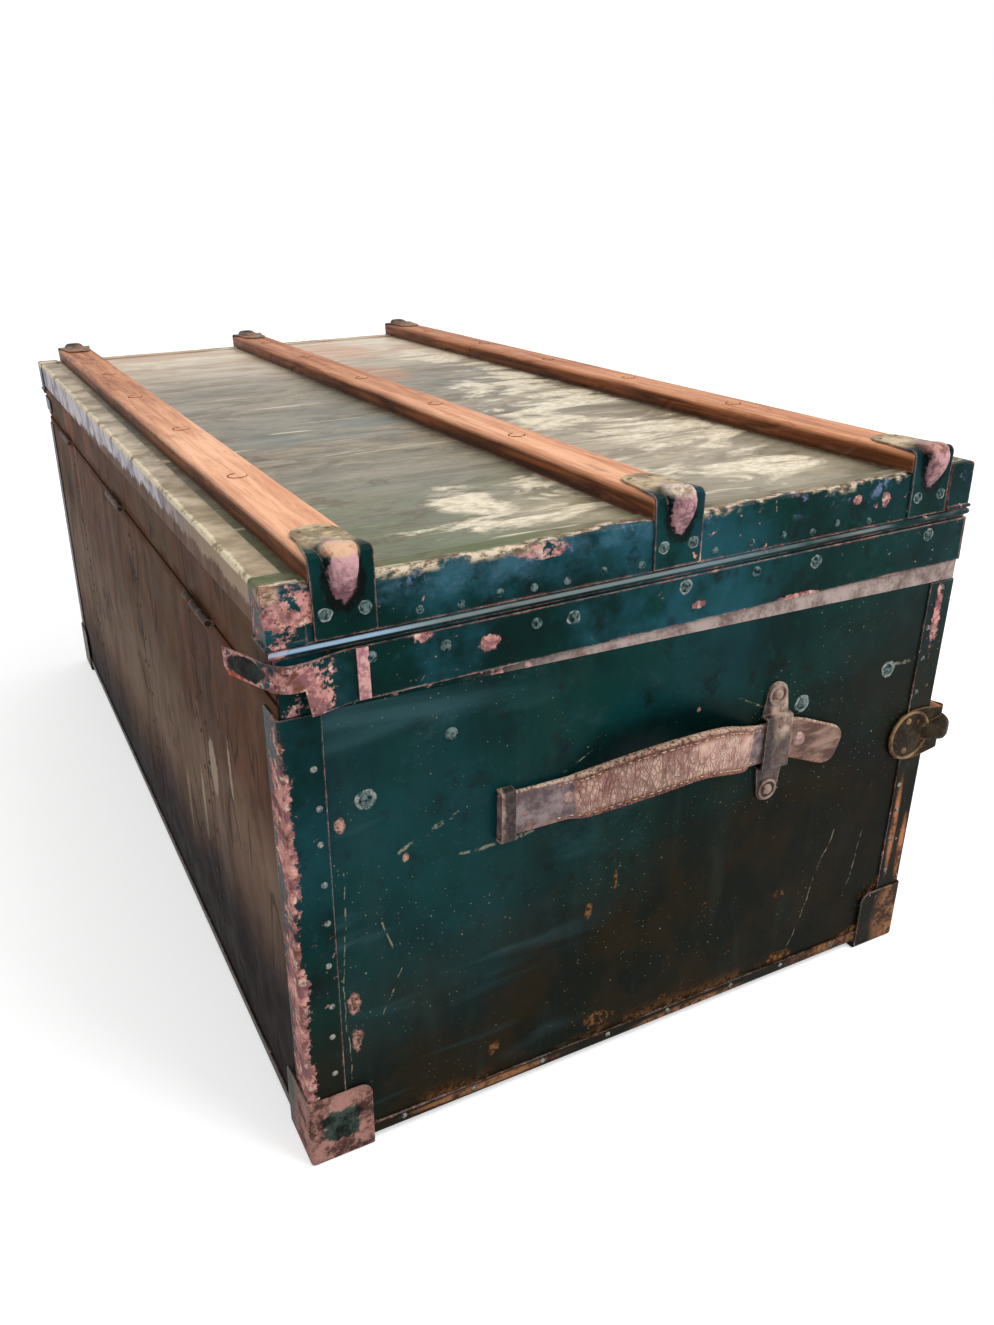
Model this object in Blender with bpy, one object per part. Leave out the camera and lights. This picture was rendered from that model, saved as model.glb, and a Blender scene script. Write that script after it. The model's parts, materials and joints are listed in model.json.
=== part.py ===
"""Flat-topped cabin trunk: a wooden carcass covered in sheet iron, with slats, clamps and leather handles.

Metres, +Z up. X runs along the trunk, with the near end at -X. The hinges are at +Y and the lock is
at -Y. The lid stands slightly ajar, as it rests with its load. The origin is on the floor, under the
middle of the whole trunk.
"""
import math

import bmesh
import bpy
from mathutils import Matrix, Vector

# Carcass: outer faces of the wood
BODY_LENGTH = 0.9200
BODY_DEPTH = 0.5050
BASE_HEIGHT = 0.3197
LID_HEIGHT = 0.0594
BOARD = 0.0100
SEAM_GAP = 0.0005
FOOT_DROP = 0.0065
LID_AJAR = 1.6

# Sheet iron laid on the wood in layers, each a sheet and a fit
SHEET = 0.0010
FIT = 0.0003

# Rim band, valance and bead at the seam
BAND_BELOW = 0.0090
LIP_ABOVE = 0.0090
BINDING_ABOVE_LIP = 0.0007
VALANCE_BELOW = 0.0085
VALANCE_HEIGHT = 0.0315
BEAD_RADIUS = 0.0025
BEAD_ABOVE_VALANCE = 0.0020
FLAP_LENGTH = 0.0435
FLAP_ABOVE_SEAM = 0.0075
FLAP_CHAMFER = 0.0040
FLAP_CUT = 0.0150
FLAP_CUT_SLANT = 0.0025
BULGE_LENGTH = 0.0420
SPRING_END = 0.0068
SPRING_CORNER = 0.0011
SPRING_OPEN = 21.6
CORNER_BEND = 0.0120
TIGHT_BEND = 0.0006
SPRING_NEAR = 1.00
SPRING_FAR = 0.04

# Bindings and caps
TOP_FLANGE = 0.0150
FOLD_RADIUS = 0.0022
BACK_BINDING_HEIGHT = 0.0250
LID_CAP_REACH = 0.0215
LID_CAP_BEAD = 0.0014
CORNER_LEG = 0.0245
PAN_EDGE = 0.0100
SHOE_REACH = 0.0430
SHOE_HEIGHT = 0.0530
SHOE_WALL = 0.0012
SHOE_FOLD = 0.0028
SHOE_ROUND = 0.0080

# Slats and their clamps
SLAT_WIDTH = 0.0360
SLAT_THICK = 0.0145
SLAT_ROUND = 0.0035
LID_SLAT_INSET = 0.0395
FRONT_SLAT_HEIGHT = 0.1872
CLAMP_SHEET = 0.0012
CLAMP_BEND = 0.0030
TONGUE_LENGTH = 0.0480
TONGUE_WIDTH = 0.0280
LID_PLATE_DROP = 0.0286
LID_PLATE_WIDTH = 0.0350
FRONT_PLATE_DROP = 0.0390
FRONT_PLATE_WIDTH = 0.0420
NOSE_BACK = 0.0240
NOSE_DROP = 0.0190
NOSE_PROUD = 0.0080
NOSE_WIDTH = 0.0220
NOSE_LIMIT = 0.80
TIP_ANGLES = (8, 30, 55, 90)
# The clamp's nose: how far along its stretch (or round the bend), share of its height, share of its width
NOSE_ON_SLAT = ((0.00, 0.00, 1.06), (0.38, 0.13, 1.05), (0.72, 0.29, 1.03))
NOSE_ON_BEND = ((0, 0.45, 1.00), (30, 0.62, 0.97), (60, 0.83, 0.93), (90, 0.96, 0.88))
NOSE_ON_WALL = ((0.22, 1.00, 0.82), (0.50, 0.82, 0.73), (0.78, 0.44, 0.62), (1.00, 0.00, 0.50))
# Section of the nose, as shares of half its width and of its height
NOSE_SECTION = ((1.00, 0.00), (0.88, 0.45), (0.74, 0.80), (0.50, 0.96), (0.18, 1.00))

# Handles
HANDLE_HEIGHT = 0.2165
HANDLE_BACK_LOOP = 0.1190
HANDLE_FRONT_LOOP = 0.0940
STRAP_STAND = 0.0007
TAB_THICK = 0.0040
STRAP_THICK = 0.0075
TAB_WIDTH = 0.0305
STRAP_WIDTH = 0.0325
STRAP_BOW = 0.0300
STRAP_RISE = 0.0255
BOW_FROM_LOOP = 0.0430
BOW_TO_LOOP = 0.0130
PAD_TO_LOOP = 0.0200
TAB_PAST_LOOP = 0.0500
TAB_DROOP = 22.0
DROOP_START = 0.0050
DROOP_EASE = 0.0200
TIP_BLUNT = 0.45
TIP_ROUND = 0.0110
PAD_TAPER = 0.0120
# Edge of the leather's section, as shares of half its width and half its thickness
STRAP_EDGE = ((0.80, 1.00), (0.95, 0.72), (1.00, 0.30))
STUD_RADIUS = 0.0055
STUD_HEIGHT = 0.0025
STUD_TAPER = 0.6
STUD_CLEAR = 0.0045
LOOP_STRIP = 0.0016
LOOP_CLEAR = 0.0010
FRONT_LOOP_SLACK = 0.0040
BACK_LOOP_SLACK = 0.0012
FRONT_LOOP_WIDTH = 0.0230
BACK_LOOP_WIDTH = 0.0100
LOOP_EAR_TOP = 0.0250
LOOP_EAR_BOTTOM = 0.0290
LOOP_BEND = 0.0022
EAR_WIDTH = 0.0155
EAR_ROUND = 0.0070

# Hinges
HINGE_INSET = 0.1600
HINGE_WIDTH = 0.0600
HINGE_LEAF = 0.0012
HINGE_LEAF_DEPTH = 0.0085
KNUCKLE_RADIUS = 0.0027
KNUCKLE_STAND = 0.0003
KNUCKLE_MIDDLE = 0.0200
HINGE_PIN = 0.0011
HINGE_RUN = 0.0003

# Lock
LOCK_WIDTH = 0.0600
LOCK_HEIGHT = 0.0720
LOCK_THICK = 0.0028
LOCK_BELOW_SEAM = 0.0105
LOCK_ROUND = 0.0100
KEYHOLE_HEIGHT = 0.0200
KEYHOLE_RADIUS = 0.0028
KEYHOLE_SLOT = 0.0022
KEYHOLE_LENGTH = 0.0085
LEAF_WIDTH = 0.0400
LEAF_HEIGHT = 0.0230
LEAF_TOP_SPARE = 0.0020
HASP_WIDTH = 0.0280
HASP_LENGTH = 0.0500
HASP_THICK = 0.0020
HASP_ROUND = 0.0090
HASP_KNUCKLE = 0.0026
HASP_PIN = 0.0011
HASP_MIDDLE = 0.0160
HASP_CLEAR = 0.0006
STAPLE_WIDTH = 0.0080
STAPLE_HEIGHT = 0.0100
STAPLE_FROM_TIP = 0.0200
NOTCH_CLEAR = 0.0020

# Smoothness of round forms
FOLD_STEPS = 3
BEAD_STEPS = 6
ROUND_STEPS = 16
STRAP_STEPS = 48
SHADE_ANGLE = math.radians(35)

# Places worked out from the sizes above
HALF_L = BODY_LENGTH / 2
HALF_D = BODY_DEPTH / 2
WOOD_BOTTOM = FOOT_DROP + SHEET + FIT
SEAM = WOOD_BOTTOM + BASE_HEIGHT
BASE_TOP = SEAM - SEAM_GAP / 2
LID_BOTTOM = SEAM + SEAM_GAP / 2
LID_TOP = SEAM + LID_HEIGHT
HINGE_Y = HALF_D + SHEET + FIT + KNUCKLE_STAND + KNUCKLE_RADIUS
LEAF_SLOT = SEAM_GAP / 2 + HINGE_LEAF + FIT
LIP_TOP = SEAM + LIP_ABOVE
BINDING_BOTTOM = LIP_TOP + BINDING_ABOVE_LIP
VALANCE_BOTTOM = SEAM - VALANCE_BELOW
VALANCE_TOP = VALANCE_BOTTOM + VALANCE_HEIGHT
BEAD_CENTRE = VALANCE_TOP + BEAD_ABOVE_VALANCE + BEAD_RADIUS


def layer_in(number):
    """Inner face of a sheet layer, out from the wood."""
    return number * (SHEET + FIT) - SHEET


def layer_out(number):
    """Outer face of a sheet layer, out from the wood."""
    return number * (SHEET + FIT)


# Materials

def material(name, colour, roughness, metallic):
    """A plain Principled material."""
    mat = bpy.data.materials.new(name)
    mat.use_nodes = True
    shader = mat.node_tree.nodes["Principled BSDF"]
    shader.inputs["Base Color"].default_value = (*colour, 1.0)
    shader.inputs["Roughness"].default_value = roughness
    shader.inputs["Metallic"].default_value = metallic
    mat.diffuse_color = (*colour, 1.0)
    return mat


def make_materials():
    """All finishes of the trunk, by slot."""
    return {
        "carcass_wood": material("carcass_wood", (0.42, 0.30, 0.19), 0.75, 0.0),
        "slat_wood": material("slat_wood", (0.35, 0.15, 0.06), 0.55, 0.0),
        "green_paint": material("green_paint", (0.012, 0.055, 0.055), 0.42, 0.0),
        "brown_paint": material("brown_paint", (0.15, 0.13, 0.10), 0.60, 0.0),
        "bare_iron": material("bare_iron", (0.33, 0.28, 0.28), 0.50, 0.8),
        "leather": material("leather", (0.27, 0.12, 0.10), 0.70, 0.0),
    }


# Mesh helpers

def box(low, high):
    """A block between two corners."""
    mesh = bmesh.new()
    bmesh.ops.create_cube(mesh, size=1.0)
    low, high = Vector(low), Vector(high)
    bmesh.ops.scale(mesh, vec=high - low, verts=mesh.verts)
    bmesh.ops.translate(mesh, vec=(high + low) / 2, verts=mesh.verts)
    return mesh


def rod(radius, low, high, steps=ROUND_STEPS, tip_radius=None):
    """A round bar, or a cone, between two points."""
    low, high = Vector(low), Vector(high)
    along = high - low
    mesh = bmesh.new()
    bmesh.ops.create_cone(mesh, cap_ends=True, segments=steps, radius1=radius,
                          radius2=radius if tip_radius is None else tip_radius, depth=along.length)
    turn = Vector((0, 0, 1)).rotation_difference(along).to_matrix().to_4x4()
    bmesh.ops.transform(mesh, matrix=Matrix.Translation((low + high) / 2) @ turn, verts=mesh.verts)
    return mesh


def loft(rings):
    """A closed solid through rings of equally many points."""
    mesh = bmesh.new()
    rows = [[mesh.verts.new(point) for point in ring] for ring in rings]
    count = len(rows[0])
    for lower, upper in zip(rows, rows[1:]):
        for i in range(count):
            mesh.faces.new((lower[i], lower[(i + 1) % count], upper[(i + 1) % count], upper[i]))
    mesh.faces.new(list(reversed(rows[0])))
    mesh.faces.new(rows[-1])
    bmesh.ops.recalc_face_normals(mesh, faces=mesh.faces)
    return mesh


def temporary(mesh):
    """An object that only lends its mesh to a Boolean."""
    data = bpy.data.meshes.new("scratch")
    mesh.to_mesh(data)
    mesh.free()
    obj = bpy.data.objects.new("scratch", data)
    bpy.context.collection.objects.link(obj)
    return obj


def combine(mesh, others, operation):
    """Join, cut or intersect a mesh with others."""
    target = temporary(mesh)
    helpers = [temporary(other) for other in others]
    for helper in helpers:
        modifier = target.modifiers.new("combine", "BOOLEAN")
        modifier.operation = operation
        modifier.solver = "EXACT"
        modifier.object = helper
    result = bmesh.new()
    result.from_object(target, bpy.context.evaluated_depsgraph_get())
    for obj in [target, *helpers]:
        data = obj.data
        bpy.data.objects.remove(obj)
        bpy.data.meshes.remove(data)
    return result


def bevel(mesh, chosen, radius, steps=FOLD_STEPS):
    """Round the edges for which chosen(start, end) is true."""
    edges = [e for e in mesh.edges if chosen(e.verts[0].co, e.verts[1].co)]
    bmesh.ops.bevel(mesh, geom=edges, offset=radius, segments=steps, affect="EDGES",
                    profile=0.5, clamp_overlap=True)
    return mesh


def arc(centre, radius, start, end, steps):
    """Points along an arc in a plane, angles in degrees."""
    angles = [math.radians(start + (end - start) * i / steps) for i in range(steps + 1)]
    return [(centre[0] + radius * math.cos(a), centre[1] + radius * math.sin(a)) for a in angles]


def add(name, mesh, mat, parent):
    """Turn a mesh, drawn in the shut trunk's place, into a named piece on its parent."""
    pivot = pivot_of(parent)
    bmesh.ops.transform(mesh, matrix=Matrix.Translation(-pivot), verts=mesh.verts)
    bmesh.ops.recalc_face_normals(mesh, faces=mesh.faces)
    data = bpy.data.meshes.new(name)
    mesh.to_mesh(data)
    mesh.free()
    data.shade_smooth()
    data.set_sharp_from_angle(angle=SHADE_ANGLE)
    data.materials.append(mat)
    obj = bpy.data.objects.new(name, data)
    bpy.context.collection.objects.link(obj)
    obj.parent = parent
    return obj


def pivot_of(carrier):
    """Where an empty stands in the shut trunk, before the trunk is moved to its origin."""
    place = Vector((0, 0, 0))
    while carrier is not None:
        place += carrier.location
        carrier = carrier.parent
    return place


def empty(name, location, parent):
    """An empty that carries pieces."""
    obj = bpy.data.objects.new(name, None)
    obj.location = location
    obj.parent = parent
    bpy.context.collection.objects.link(obj)
    return obj


# Sweeps round the trunk: a profile of (out from the wood, height) follows stops (x, y, kx, ky)

def sweep(profile, stops):
    """A profile carried through stops, mitred where both k are set."""
    return loft([[(x + kx * out, y + ky * out, z) for out, z in profile] for x, y, kx, ky in stops])


def corner(side_x, side_y, grow=0.0):
    """The stop at one corner of the wood, moved out by a mitre gap."""
    return (side_x * (HALF_L + grow), side_y * (HALF_D + grow), side_x, side_y)


def side_stops(side, pull=FIT / 2):
    """Two mitred stops that bound a side of the trunk, pulled in at the mitres."""
    x, y = HALF_L - pull, HALF_D - pull
    ends = {
        "near": ((-HALF_L, -y, -1, -1), (-HALF_L, y, -1, 1)),
        "far": ((HALF_L, -y, 1, -1), (HALF_L, y, 1, 1)),
        "front": ((-x, -HALF_D, -1, -1), (x, -HALF_D, 1, -1)),
        "back": ((-x, HALF_D, -1, 1), (x, HALF_D, 1, 1)),
    }
    return ends[side]


# Carcass

def hinge_places():
    """X of the three hinges, by name."""
    outer = HALF_L - HINGE_INSET
    return {"near": -outer, "middle": 0.0, "far": outer}


def hinge_mortises(low, high):
    """Cutters for the hinge leaves between two heights of the back board's edge."""
    half = HINGE_WIDTH / 2 + FIT
    front = HALF_D - HINGE_LEAF_DEPTH - FIT
    back = HALF_D + BOARD
    return [box((x - half, front, low), (x + half, back, high)) for x in hinge_places().values()]


def add_walls(prefix, low, high, mortises, mat, parent):
    """Four wall boards, the ends standing between front and back."""
    inner_y = HALF_D - BOARD - FIT
    for name, side in (("near", -1), ("far", 1)):
        outer, inner = side * HALF_L, side * (HALF_L - BOARD)
        mesh = box((min(outer, inner), -inner_y, low), (max(outer, inner), inner_y, high))
        add(f"{prefix}_board_{name}", mesh, mat, parent)
    front = box((-HALF_L, -HALF_D, low), (HALF_L, BOARD - HALF_D, high))
    add(f"{prefix}_board_front", front, mat, parent)
    back = box((-HALF_L, HALF_D - BOARD, low), (HALF_L, HALF_D, high))
    add(f"{prefix}_board_back", combine(back, mortises, "DIFFERENCE"), mat, parent)


def add_carcass(mats, base, lid):
    """Ten boards."""
    wood = mats["carcass_wood"]
    floor_top = WOOD_BOTTOM + BOARD
    mesh = box((-HALF_L, -HALF_D, WOOD_BOTTOM), (HALF_L, HALF_D, floor_top))
    add("base_board_bottom", mesh, wood, base)
    leaf_base = SEAM - LEAF_SLOT
    add_walls("base", floor_top + FIT, BASE_TOP, hinge_mortises(leaf_base, SEAM), wood, base)
    ceiling = LID_TOP - BOARD
    mesh = box((-HALF_L, -HALF_D, ceiling), (HALF_L, HALF_D, LID_TOP))
    add("lid_board_top", mesh, wood, lid)
    leaf_lid = SEAM + LEAF_SLOT
    add_walls("lid", LID_BOTTOM, ceiling - FIT, hinge_mortises(SEAM, leaf_lid), wood, lid)


# Sheet covering of the base

def add_base_sheets(mats, base):
    """Flat sheets on the four walls, which stop under the rim band and the hinges."""
    inner, outer = layer_in(1), layer_out(1)
    top = SEAM - BAND_BELOW - FIT
    for name, side in (("near", -1), ("far", 1)):
        x = sorted((side * (HALF_L + inner), side * (HALF_L + outer)))
        mesh = box((x[0], -HALF_D, WOOD_BOTTOM), (x[1], HALF_D, top))
        add(f"base_sheet_{name}", mesh, mats["green_paint"], base)
    mesh = box((-HALF_L, -HALF_D - outer, WOOD_BOTTOM), (HALF_L, -HALF_D - inner, top))
    add("base_sheet_front", mesh, mats["brown_paint"], base)
    back_top = SEAM - LEAF_SLOT
    mesh = box((-HALF_L, HALF_D + inner, WOOD_BOTTOM), (HALF_L, HALF_D + outer, back_top))
    add("base_sheet_back", mesh, mats["brown_paint"], base)


def add_bottom_pan(mats, base):
    """A tray under the base, folded up the walls."""
    outer, inner = layer_out(2), layer_in(2)
    low = WOOD_BOTTOM - layer_out(1)
    top = low + PAN_EDGE
    ring = [(outer - FOLD_RADIUS, low), *arc((outer - FOLD_RADIUS, low + FOLD_RADIUS), FOLD_RADIUS, -90, 0,
                                             FOLD_STEPS)[1:],
            (outer, top), (inner, top), (inner, low + SHEET)]
    signs = ((-1, -1), (1, -1), (1, 1), (-1, 1))
    mesh = bmesh.new()
    rows = [[mesh.verts.new((sx * (HALF_L + out), sy * (HALF_D + out), z)) for sx, sy in signs]
            for out, z in ring]
    for lower, upper in zip(rows, rows[1:]):
        for i in range(4):
            mesh.faces.new((lower[i], lower[(i + 1) % 4], upper[(i + 1) % 4], upper[i]))
    mesh.faces.new(rows[0])
    mesh.faces.new(rows[-1])
    add("bottom_pan", mesh, mats["green_paint"], base)


def add_rim_band(mats, base):
    """Bare band round three sides, nailed to the wood below the seam and standing up as a lip."""
    low, high = SEAM - BAND_BELOW, LIP_TOP
    profile = [(layer_in(1), low), (layer_out(1), low), (layer_out(1), high), (layer_in(1), high)]
    stops = [(-HALF_L, HALF_D, -1, 0), corner(-1, -1), corner(1, -1), (HALF_L, HALF_D, 1, 0)]
    add("rim_band", sweep(profile, stops), mats["bare_iron"], base)


def add_corner_bindings(mats, base):
    """Angle strips over the sheets' edges, between the pan's edge and the valance."""
    low = WOOD_BOTTOM - layer_out(1) + PAN_EDGE + FIT
    high = VALANCE_BOTTOM - FIT - SHEET / 2
    outer, inner = layer_out(2), layer_in(2)
    for name_x, side_x in (("near", -1), ("far", 1)):
        for name_y, side_y in (("back", 1), ("front", -1)):
            plan = angle_plan(outer, inner, CORNER_LEG)
            rings = [[(side_x * (HALF_L + u), side_y * (HALF_D + v), z) for u, v in plan]
                     for z in (low, high)]
            add(f"corner_binding_{name_x}_{name_y}", loft(rings), mats["green_paint"], base)


def angle_plan(outer, inner, leg):
    """Plan of an angle strip round a corner, in distances out from the wood."""
    fold = FOLD_RADIUS
    start = outer - leg
    bend = arc((outer - fold, outer - fold), fold, 0, 90, FOLD_STEPS)
    return [(outer, start), *bend, (start, outer), (start, inner), (inner, inner), (inner, start)]


def add_shoes(mats, base):
    """Corner shoes at the bottom, whose thick floor is the foot."""
    outer = layer_in(3) + SHOE_WALL
    reach = SHOE_REACH - outer
    top = SHOE_HEIGHT
    for name_x, side_x in (("near", -1), ("far", 1)):
        for name_y, side_y in (("back", 1), ("front", -1)):
            mesh = box((-reach, -reach, 0.0), (outer, outer, top))
            bevel(mesh, lambda a, b: on_fold(a, b, outer), SHOE_FOLD)
            inside = box((-reach - BOARD, -reach - BOARD, WOOD_BOTTOM - layer_out(1) - FIT),
                         (layer_in(3), layer_in(3), top + BOARD))
            mesh = combine(mesh, [inside, *shoe_corner_cuts(reach, outer, top)], "DIFFERENCE")
            bmesh.ops.transform(mesh, matrix=Matrix.Diagonal((side_x, side_y, 1, 1)), verts=mesh.verts)
            bmesh.ops.translate(mesh, vec=(side_x * HALF_L, side_y * HALF_D, 0), verts=mesh.verts)
            add(f"corner_cap_{name_x}_{name_y}", mesh, mats["green_paint"], base)


def on_fold(a, b, outer):
    """True for the shoe's edges where two of its three outer faces meet."""
    near = 1e-6
    on_x = abs(a.x - outer) < near and abs(b.x - outer) < near
    on_y = abs(a.y - outer) < near and abs(b.y - outer) < near
    on_z = abs(a.z) < near and abs(b.z) < near
    return on_x + on_y + on_z == 2


def shoe_corner_cuts(reach, outer, top):
    """Cutters that round the free corners of the shoe's two walls."""
    r = SHOE_ROUND
    cuts = []
    for axis in ("x", "y"):
        block = [(-reach - r, top + r), (-reach - r, top - r), (-reach, top - r),
                 *arc((-reach + r, top - r), r, 180, 90, 2 * FOLD_STEPS)[1:], (-reach + r, top + r)]
        ends = (outer - 2 * SHOE_WALL, outer + r)
        rings = [[(d, u, z) if axis == "x" else (u, d, z) for u, z in block] for d in ends]
        cuts.append(loft(rings))
    return cuts


# Sheet covering of the lid

def add_lid_sheets(mats, lid):
    """Top and back sheets."""
    inner, outer = layer_in(1), layer_out(1)
    mesh = box((-HALF_L, -HALF_D, LID_TOP + inner), (HALF_L, HALF_D, LID_TOP + outer))
    add("lid_sheet_top", mesh, mats["brown_paint"], lid)
    mesh = box((-HALF_L, HALF_D + inner, SEAM + LEAF_SLOT), (HALF_L, HALF_D + outer, LID_TOP))
    add("lid_sheet_back", mesh, mats["brown_paint"], lid)


def binding_profile(bottom, inner, bead):
    """Angle with a rounded fold over the lid's edge and, if asked, a half-round bead on its wall."""
    outer = inner + SHEET
    under, over = LID_TOP + layer_in(2), LID_TOP + layer_out(2)
    wall = [(outer, bottom)]
    if bead:
        wall += arc((outer, BEAD_CENTRE), BEAD_RADIUS, -90, 90, BEAD_STEPS)
    fold = arc((outer - FOLD_RADIUS, over - FOLD_RADIUS), FOLD_RADIUS, 0, 90, FOLD_STEPS)
    return [*wall, *fold, (-TOP_FLANGE, over), (-TOP_FLANGE, under), (inner, under), (inner, bottom)]


def add_lid_bindings(mats, lid):
    """Bindings round the lid's top edge; the end ones carry the corner caps."""
    beaded = binding_profile(BINDING_BOTTOM, layer_in(1), True)
    for name, side in (("near", -1), ("far", 1)):
        mesh = sweep(beaded, side_stops(name))
        caps = [lid_cap(side, 1, layer_in(3)), lid_cap(side, -1, layer_in(2))]
        add(f"lid_binding_{name}", combine(mesh, caps, "UNION"), mats["green_paint"], lid)
    add("lid_binding_front", sweep(beaded, side_stops("front")), mats["brown_paint"], lid)
    plain = binding_profile(LID_TOP + layer_out(2) - BACK_BINDING_HEIGHT, layer_in(2), False)
    under_caps = side_stops("back", layer_out(2) - layer_in(1) - FIT)
    add("lid_binding_back", sweep(plain, under_caps), mats["green_paint"], lid)


def lid_cap(side_x, side_y, stand_y):
    """A pressed cap over a top corner, with a rolled lower edge; it meets the end binding."""
    sink = SHEET / 10
    stand_x = layer_out(1) - sink
    low = BEAD_CENTRE + BEAD_RADIUS + FIT
    over = LID_TOP + layer_in(3) + SHEET
    roll = arc((SHEET, low + LID_CAP_BEAD), LID_CAP_BEAD, -90, 90, BEAD_STEPS)
    fold = arc((SHEET - FOLD_RADIUS, over - FOLD_RADIUS), FOLD_RADIUS, 0, 90, FOLD_STEPS)
    flange = stand_x + SHEET - LID_CAP_REACH + FOLD_RADIUS
    profile = [*roll, *fold, (flange, over), (flange, over - SHEET), (0, over - SHEET), (0, low)]
    x, y = side_x * (HALF_L + stand_x), side_y * (HALF_D + stand_y)
    near_y = y - side_y * (LID_CAP_REACH - SHEET)
    near_x = x - side_x * (LID_CAP_REACH - SHEET)
    return sweep(profile, [(x, near_y, side_x, 0), (x, y, side_x, side_y), (near_x, y, 0, side_y)])


# Valance: strips hung from the lid's bindings, over the rim band when the lid is shut

def add_valances(mats, lid):
    """Front strip, and end strips that turn the back corner."""
    x, y = HALF_L + layer_out(2), HALF_D + layer_in(2)
    mesh = box((-x, -y - SHEET, VALANCE_BOTTOM), (x, -y, VALANCE_TOP))
    add("valance_front", mesh, mats["green_paint"], lid)
    for name, side, spring in (("near", -1, SPRING_NEAR), ("far", 1, SPRING_FAR)):
        add(f"valance_{name}", end_valance(side, spring), mats["green_paint"], lid)


def end_valance(side, spring):
    """An end strip: along the end, round the back corner and along the back as a flap.

    The plan is drawn as (out from the end, in from the back). A spring of 1 lets the corner stand
    off the lid, bent open by years of knocks; 0 keeps it tight.
    """
    rest = layer_in(2)
    off_end = rest + spring * SPRING_END
    off_corner = rest + spring * SPRING_CORNER
    opened = math.radians(spring * SPRING_OPEN)
    bend = TIGHT_BEND + spring * (CORNER_BEND - TIGHT_BEND)
    start = bend * math.cos(opened) - off_corner
    steps = 2 * FOLD_STEPS
    backs = [BULGE_LENGTH + (FLAP_CUT - BULGE_LENGTH) * i / steps for i in range(steps + 1)]
    plan = [(rest, BODY_DEPTH + layer_out(1))]
    for back in (*backs, FLAP_CUT - FLAP_CUT_SLANT):
        t = (BULGE_LENGTH - back) / (BULGE_LENGTH - start)
        ease = t * t * (3 - 2 * t)
        plan.append((rest + (off_end - rest) * ease, back))
    full = len(plan) - 1
    plan += arc((off_end - bend, start), bend, 0, math.degrees(opened) - 90, steps)
    out, back = plan[-1]
    flap = FLAP_LENGTH - (off_end - out)
    for t in (*(i / 4 for i in range(1, 4)), 1 - FLAP_CHAMFER / FLAP_LENGTH, 1.0):
        plan.append((out - t * flap, back - t * flap * math.tan(opened)))
    rings = []
    for i, (out, back) in enumerate(plan):
        low = VALANCE_BOTTOM if i < full else SEAM + FLAP_ABOVE_SEAM
        if i == len(plan) - 1:
            low += FLAP_CHAMFER
        nx, ny = plan_normal(plan, i)
        inner = (side * (HALF_L + out), HALF_D - back)
        outer = (side * (HALF_L + out + nx * SHEET), HALF_D - back - ny * SHEET)
        rings.append([(*inner, low), (*outer, low), (*outer, VALANCE_TOP), (*inner, VALANCE_TOP)])
    return loft(rings)


def plan_normal(plan, i):
    """Unit normal of a plan line at a point, pointing away from the trunk."""
    before, after = plan[max(i - 1, 0)], plan[min(i + 1, len(plan) - 1)]
    along = Vector((after[0] - before[0], after[1] - before[1])).normalized()
    return -along.y, along.x


# Slats

def slat_mesh(low, high, up, side, recess):
    """A wooden slat with its outer edges rounded, cut under its ends to clear the bindings there.

    It stands out along axis number up, to the given side; the recess is that long at each end.
    """
    mesh = box(low, high)
    top = (high if side > 0 else low)[up]
    near = 1e-6
    bevel(mesh, lambda a, b: abs(a[up] - top) < near and abs(b[up] - top) < near, SLAT_ROUND)
    cutters = []
    for end in (-1, 1):
        spare = Vector((SHEET, SHEET, SHEET))
        start, stop = Vector(low) - spare, Vector(high) + spare
        if end > 0:
            start.x = high[0] - recess
        else:
            stop.x = low[0] + recess
        if side > 0:
            stop[up] = low[up] + SHEET + FIT
        else:
            start[up] = high[up] - SHEET - FIT
        cutters.append(box(start, stop))
    return combine(mesh, cutters, "DIFFERENCE")


def lid_slat_rows():
    """Y of the slats on the lid, by name."""
    row = HALF_D - LID_SLAT_INSET
    return {"back": row, "middle": 0.0, "front": -row}


def add_slats(mats, base, lid):
    """Three slats along the lid and one along the front, from end to end."""
    x = HALF_L + layer_out(1)
    half = SLAT_WIDTH / 2
    low = LID_TOP + layer_in(2)
    over_flange = TOP_FLANGE + layer_out(1) + FIT
    for name, y in lid_slat_rows().items():
        mesh = slat_mesh((-x, y - half, low), (x, y + half, low + SLAT_THICK), 2, 1, over_flange)
        add(f"slat_lid_{name}", mesh, mats["slat_wood"], lid)
    x = HALF_L + layer_out(2)
    z = WOOD_BOTTOM + FRONT_SLAT_HEIGHT
    face = -HALF_D - layer_in(2)
    over_binding = CORNER_LEG + FIT
    mesh = slat_mesh((-x, face - SLAT_THICK, z - half), (x, face, z + half), 1, -1, over_binding)
    add("slat_front", mesh, mats["slat_wood"], base)


# Slat clamps

def clamp_stations(wall, drop, plate_width, rounded):
    """Stations of a clamp from the tongue's tip to the plate's end.

    Each is a seat, the way out from it, the width, and the nose's height and width. Seats are (out
    from the trunk's end, up from the wood under the slat). They run along the slat's top, round its
    end and down the end wall, and clear what they lie on by a fit.
    """
    top = layer_in(2) + SLAT_THICK + FIT
    bend = wall - CLAMP_BEND
    return (tongue_stations(top, bend) + bend_stations(top, bend)
            + wall_stations(wall, top - CLAMP_BEND, drop, plate_width, rounded))


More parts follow.
